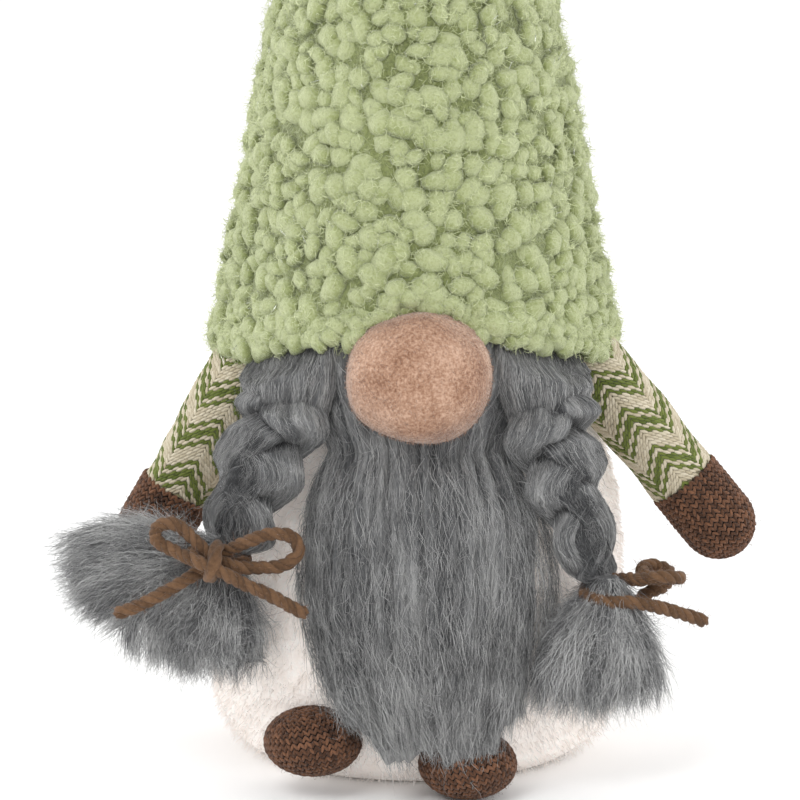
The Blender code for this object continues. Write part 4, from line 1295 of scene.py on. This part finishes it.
def beard_rings(rows, columns, spread=0.0):
    """The beard as one soft mass: its front and back surfaces as a closed grid, ending in uneven locks."""
    heights, left, right, front = beard_outline()
    body_heights, body_radii = body_profile()
    top = heights[-1] + 32 * MM
    swing = np.linspace(0, math.tau, columns, endpoint=False)
    q = -np.cos(swing)
    facing = np.sin(swing)
    ends = 19 * MM + 9 * MM * np.abs(q) ** 3 - 7 * MM * np.exp(-((q + 0.55) / 0.22) ** 2)
    ends -= 9 * MM * np.exp(-((q - 0.42) / 0.36) ** 2)
    ends += 1.6 * MM * np.sin(q * 23 + 1) + 1.2 * MM * np.sin(q * 41)
    part = np.linspace(0, 1, rows)[:, None]
    z = top + (ends - top) * part
    edges = []
    for side, value in ((-1, left), (1, right)):
        widened = np.interp(z, np.append(heights, top), np.append(value, value[-1] + side * 13 * MM))
        stray = spread * (1.0 if side > 0 else 0.45) * smoothstep(100, 60, z / MM) * smoothstep(8, 30, z / MM)
        edges.append(widened + side * (1.5 + 2.5 * smoothstep(70, 101, z / MM)) * MM + side * stray)
    x = (edges[0] + edges[1]) / 2 + q * (edges[1] - edges[0]) / 2
    closing = np.sqrt(np.clip(1 - (np.maximum(part - 0.86, 0) / 0.145) ** 2, 0, 1))
    skin = np.sqrt(np.maximum(np.interp(z, body_heights, body_radii) ** 2 - x**2, (26 * MM) ** 2))
    fullness = np.interp(z, heights, front) - np.interp(z, body_heights, body_radii)
    fullness = np.clip(fullness, 3.5 * MM, 14 * MM) + 1.0 * MM
    over_feet = np.interp(z, np.array((8, 16, 26, 40)) * MM, np.array((14, 10, 5, 0)) * MM)
    depth = fullness * (0.45 + 0.55 * np.sqrt(np.clip(1 - q**2, 0, 1))) / 2
    forward = skin + 0.8 * MM + over_feet + depth + facing * depth * closing
    return tuck_under_brim(np.stack((x, -forward, z), -1))


def make_beard(core, wool):
    rings = beard_rings(150, 260)
    locks = grid_ripple(rings * np.array((1, 0, 0.16)), 13 * MM, 141)
    # Lock tone that differs at random, lighter towards the bottom; it goes into the same darkening field as
    # the painted shade of the plaits and tassels.
    shade = 0.25 * locks - 0.5 * smoothstep(70 * MM, 20 * MM, rings[..., 2])
    mass, shaped = add_wool("beard_mass", rings, core, None, 140, ["beard"], 1.7, shade)
    pieces = [mass]
    front = shaped[:, : shaped.shape[1] // 2 + 8]
    layers = ((3100, 0.4, 0.0, (0.05, 1.0)), (3100, 0.8, 4.0, (0.1, 1.0)), (3100, 1.5, 10.0, (0.7, 1.0)))
    for number, (count, proud, overhang, used) in enumerate(layers, start=1):
        fibres = lay_fibres(f"beard_fibres_{number}", shaped, count, (9 * MM, 20 * MM), 150 + 3 * number,
                            thickness=0.14 * MM, proud=proud * MM, crimp=0.35 * MM, fly=0.12,
                            overhang=overhang * MM, rows_used=used, painted_shade_and_tone=shade)
        finish_piece(fibres, wool, None)
        pieces.append(fibres)
    spots, normals = front[20:].reshape(-1, 3), grid_normals(shaped)[20:, : front.shape[1]].reshape(-1, 3)
    hairs = loose_hairs("beard_hairs", spots, normals, 900, (3 * MM, 9 * MM), 161)
    finish_piece(hairs, wool, None)
    pieces.append(hairs)
    veil = lay_fibres("beard_wisps", beard_rings(150, 260, 7 * MM), 2300, (12 * MM, 26 * MM), 165,
                      thickness=0.12 * MM, proud=1.2 * MM, crimp=0.7 * MM, fly=0.4, fly_reach=4 * MM,
                      overhang=5 * MM, rows_used=(0.3, 0.95))
    finish_piece(veil, wool, None)
    pieces.append(veil)
    for piece in pieces:
        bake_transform(piece)


# ---------------------------------------------------------------- hidden pieces and stage


def finish_inside():
    """Materials of the CAD pieces that stay as they are, all of them inside or underneath."""
    fill = plush_material("fibrefill", rgb(205, 205, 202), rgb(240, 240, 238))
    felt = plush_material("base_felt", rgb(205, 198, 188), rgb(232, 226, 218))
    thread = yarn_material("sewing_thread", rgb(130, 100, 80), rgb(185, 150, 125))
    kept = {"base_panel": felt, "base_card": card_material(), "pellet_bag": pellet_material(),
            "nose_gather_thread": thread}
    for node, obj in frame["nodes"].items():
        if node.endswith("_stuffing"):
            kept[node] = fill
        if node in kept:
            obj.data.materials.clear()
            obj.data.materials.append(kept[node])


def add_light(name, place, aim, size, power):
    light = bpy.data.lights.new(name, "AREA")
    light.size = size
    light.energy = power
    obj = bpy.data.objects.new(name, light)
    obj.location = place
    obj.rotation_euler = (Vector(place) - Vector(aim)).to_track_quat("Z", "Y").to_euler()
    bpy.context.scene.collection.objects.link(obj)


def add_stage():
    bpy.ops.mesh.primitive_plane_add(size=12, location=(0, 0, -0.2 * MM))
    floor = bpy.context.object
    floor.name = "floor"
    shader = Shader("floor", roughness=0.9)
    shader.principled.inputs["Base Color"].default_value = (0.97, 0.97, 0.97, 1)
    floor.data.materials.append(shader.material)
    world = bpy.data.worlds.new("studio")
    world.use_nodes = True
    world.node_tree.nodes["Background"].inputs["Color"].default_value = (1, 1, 1, 1)
    world.node_tree.nodes["Background"].inputs["Strength"].default_value = 0.92
    bpy.context.scene.world = world
    aim = (0, 0, 0.11)
    add_light("key", (-0.7, -1.3, 1.4), aim, 0.9, 13)
    add_light("fill", (1.2, -1.2, 0.7), aim, 1.2, 5)
    add_light("left_rim", (-1.4, 0.5, 0.6), aim, 1.0, 9)
    add_light("right_rim", (1.4, 0.5, 0.6), aim, 1.0, 8)
    bpy.context.scene.view_settings.view_transform = "Standard"


def main():
    add_camera()
    brown_dark, brown_light = rgb(40, 22, 12), rgb(126, 87, 63)
    yarn = yarn_material("bow_yarn", rgb(45, 29, 16), rgb(123, 92, 66))
    yarn_hair = fuzz_material("yarn_hair", rgb(74, 46, 28), rgb(140, 100, 70))
    knit_yarn = yarn_material("knit_yarn", brown_dark, brown_light, 1200)
    knit_hair = fuzz_material("knit_hair", brown_dark, brown_light)
    knit_backing = plush_material("knit_backing", rgb(36, 21, 12), rgb(60, 38, 25))
    core = wool_core_material("wool_core", rgb(48, 49, 51), rgb(98, 99, 100), rgb(160, 160, 159))
    loose_core = wool_core_material("loose_wool_core",
                                    rgb(50, 51, 53), rgb(108, 109, 110), rgb(170, 170, 169))
    wool = fuzz_material("wool_fibres", rgb(62, 63, 65), rgb(180, 180, 179))
    loose = fuzz_material("loose_wool_fibres", rgb(80, 81, 83), rgb(214, 214, 213))
    for side in ("left", "right"):
        add_bow(side, yarn, yarn_hair)
    hat_fuzz = fuzz_material("sherpa_fuzz", rgb(112, 122, 62), rgb(222, 229, 184), glow=0.05)
    make_hat(sherpa_material(), hat_fuzz, tinsel_material())
    make_nose(velour_material(), fuzz_material("velour_nap", rgb(124, 88, 68), rgb(200, 166, 144), 0.5))
    make_body(plush_material("plush_backing", rgb(240, 230, 222), rgb(252, 246, 241), 0.08),
              fuzz_material("plush_fur", rgb(242, 232, 225), rgb(254, 250, 247), glow=0.09))
    sleeve_cloth = plush_material("sleeve_cloth", rgb(118, 116, 78), rgb(176, 168, 138))
    floats = woven_material()
    for side in ("left", "right"):
        make_foot(side, knit_backing, knit_yarn, knit_hair)
        make_arm(side, sleeve_cloth, floats, knit_backing, knit_yarn, knit_hair)
        make_plait(side, core, wool)
        make_plait_root(side, core, wool)
        make_tassel(side, loose_core, loose)
    make_beard(core, wool)
    finish_inside()
    add_stage()


main()
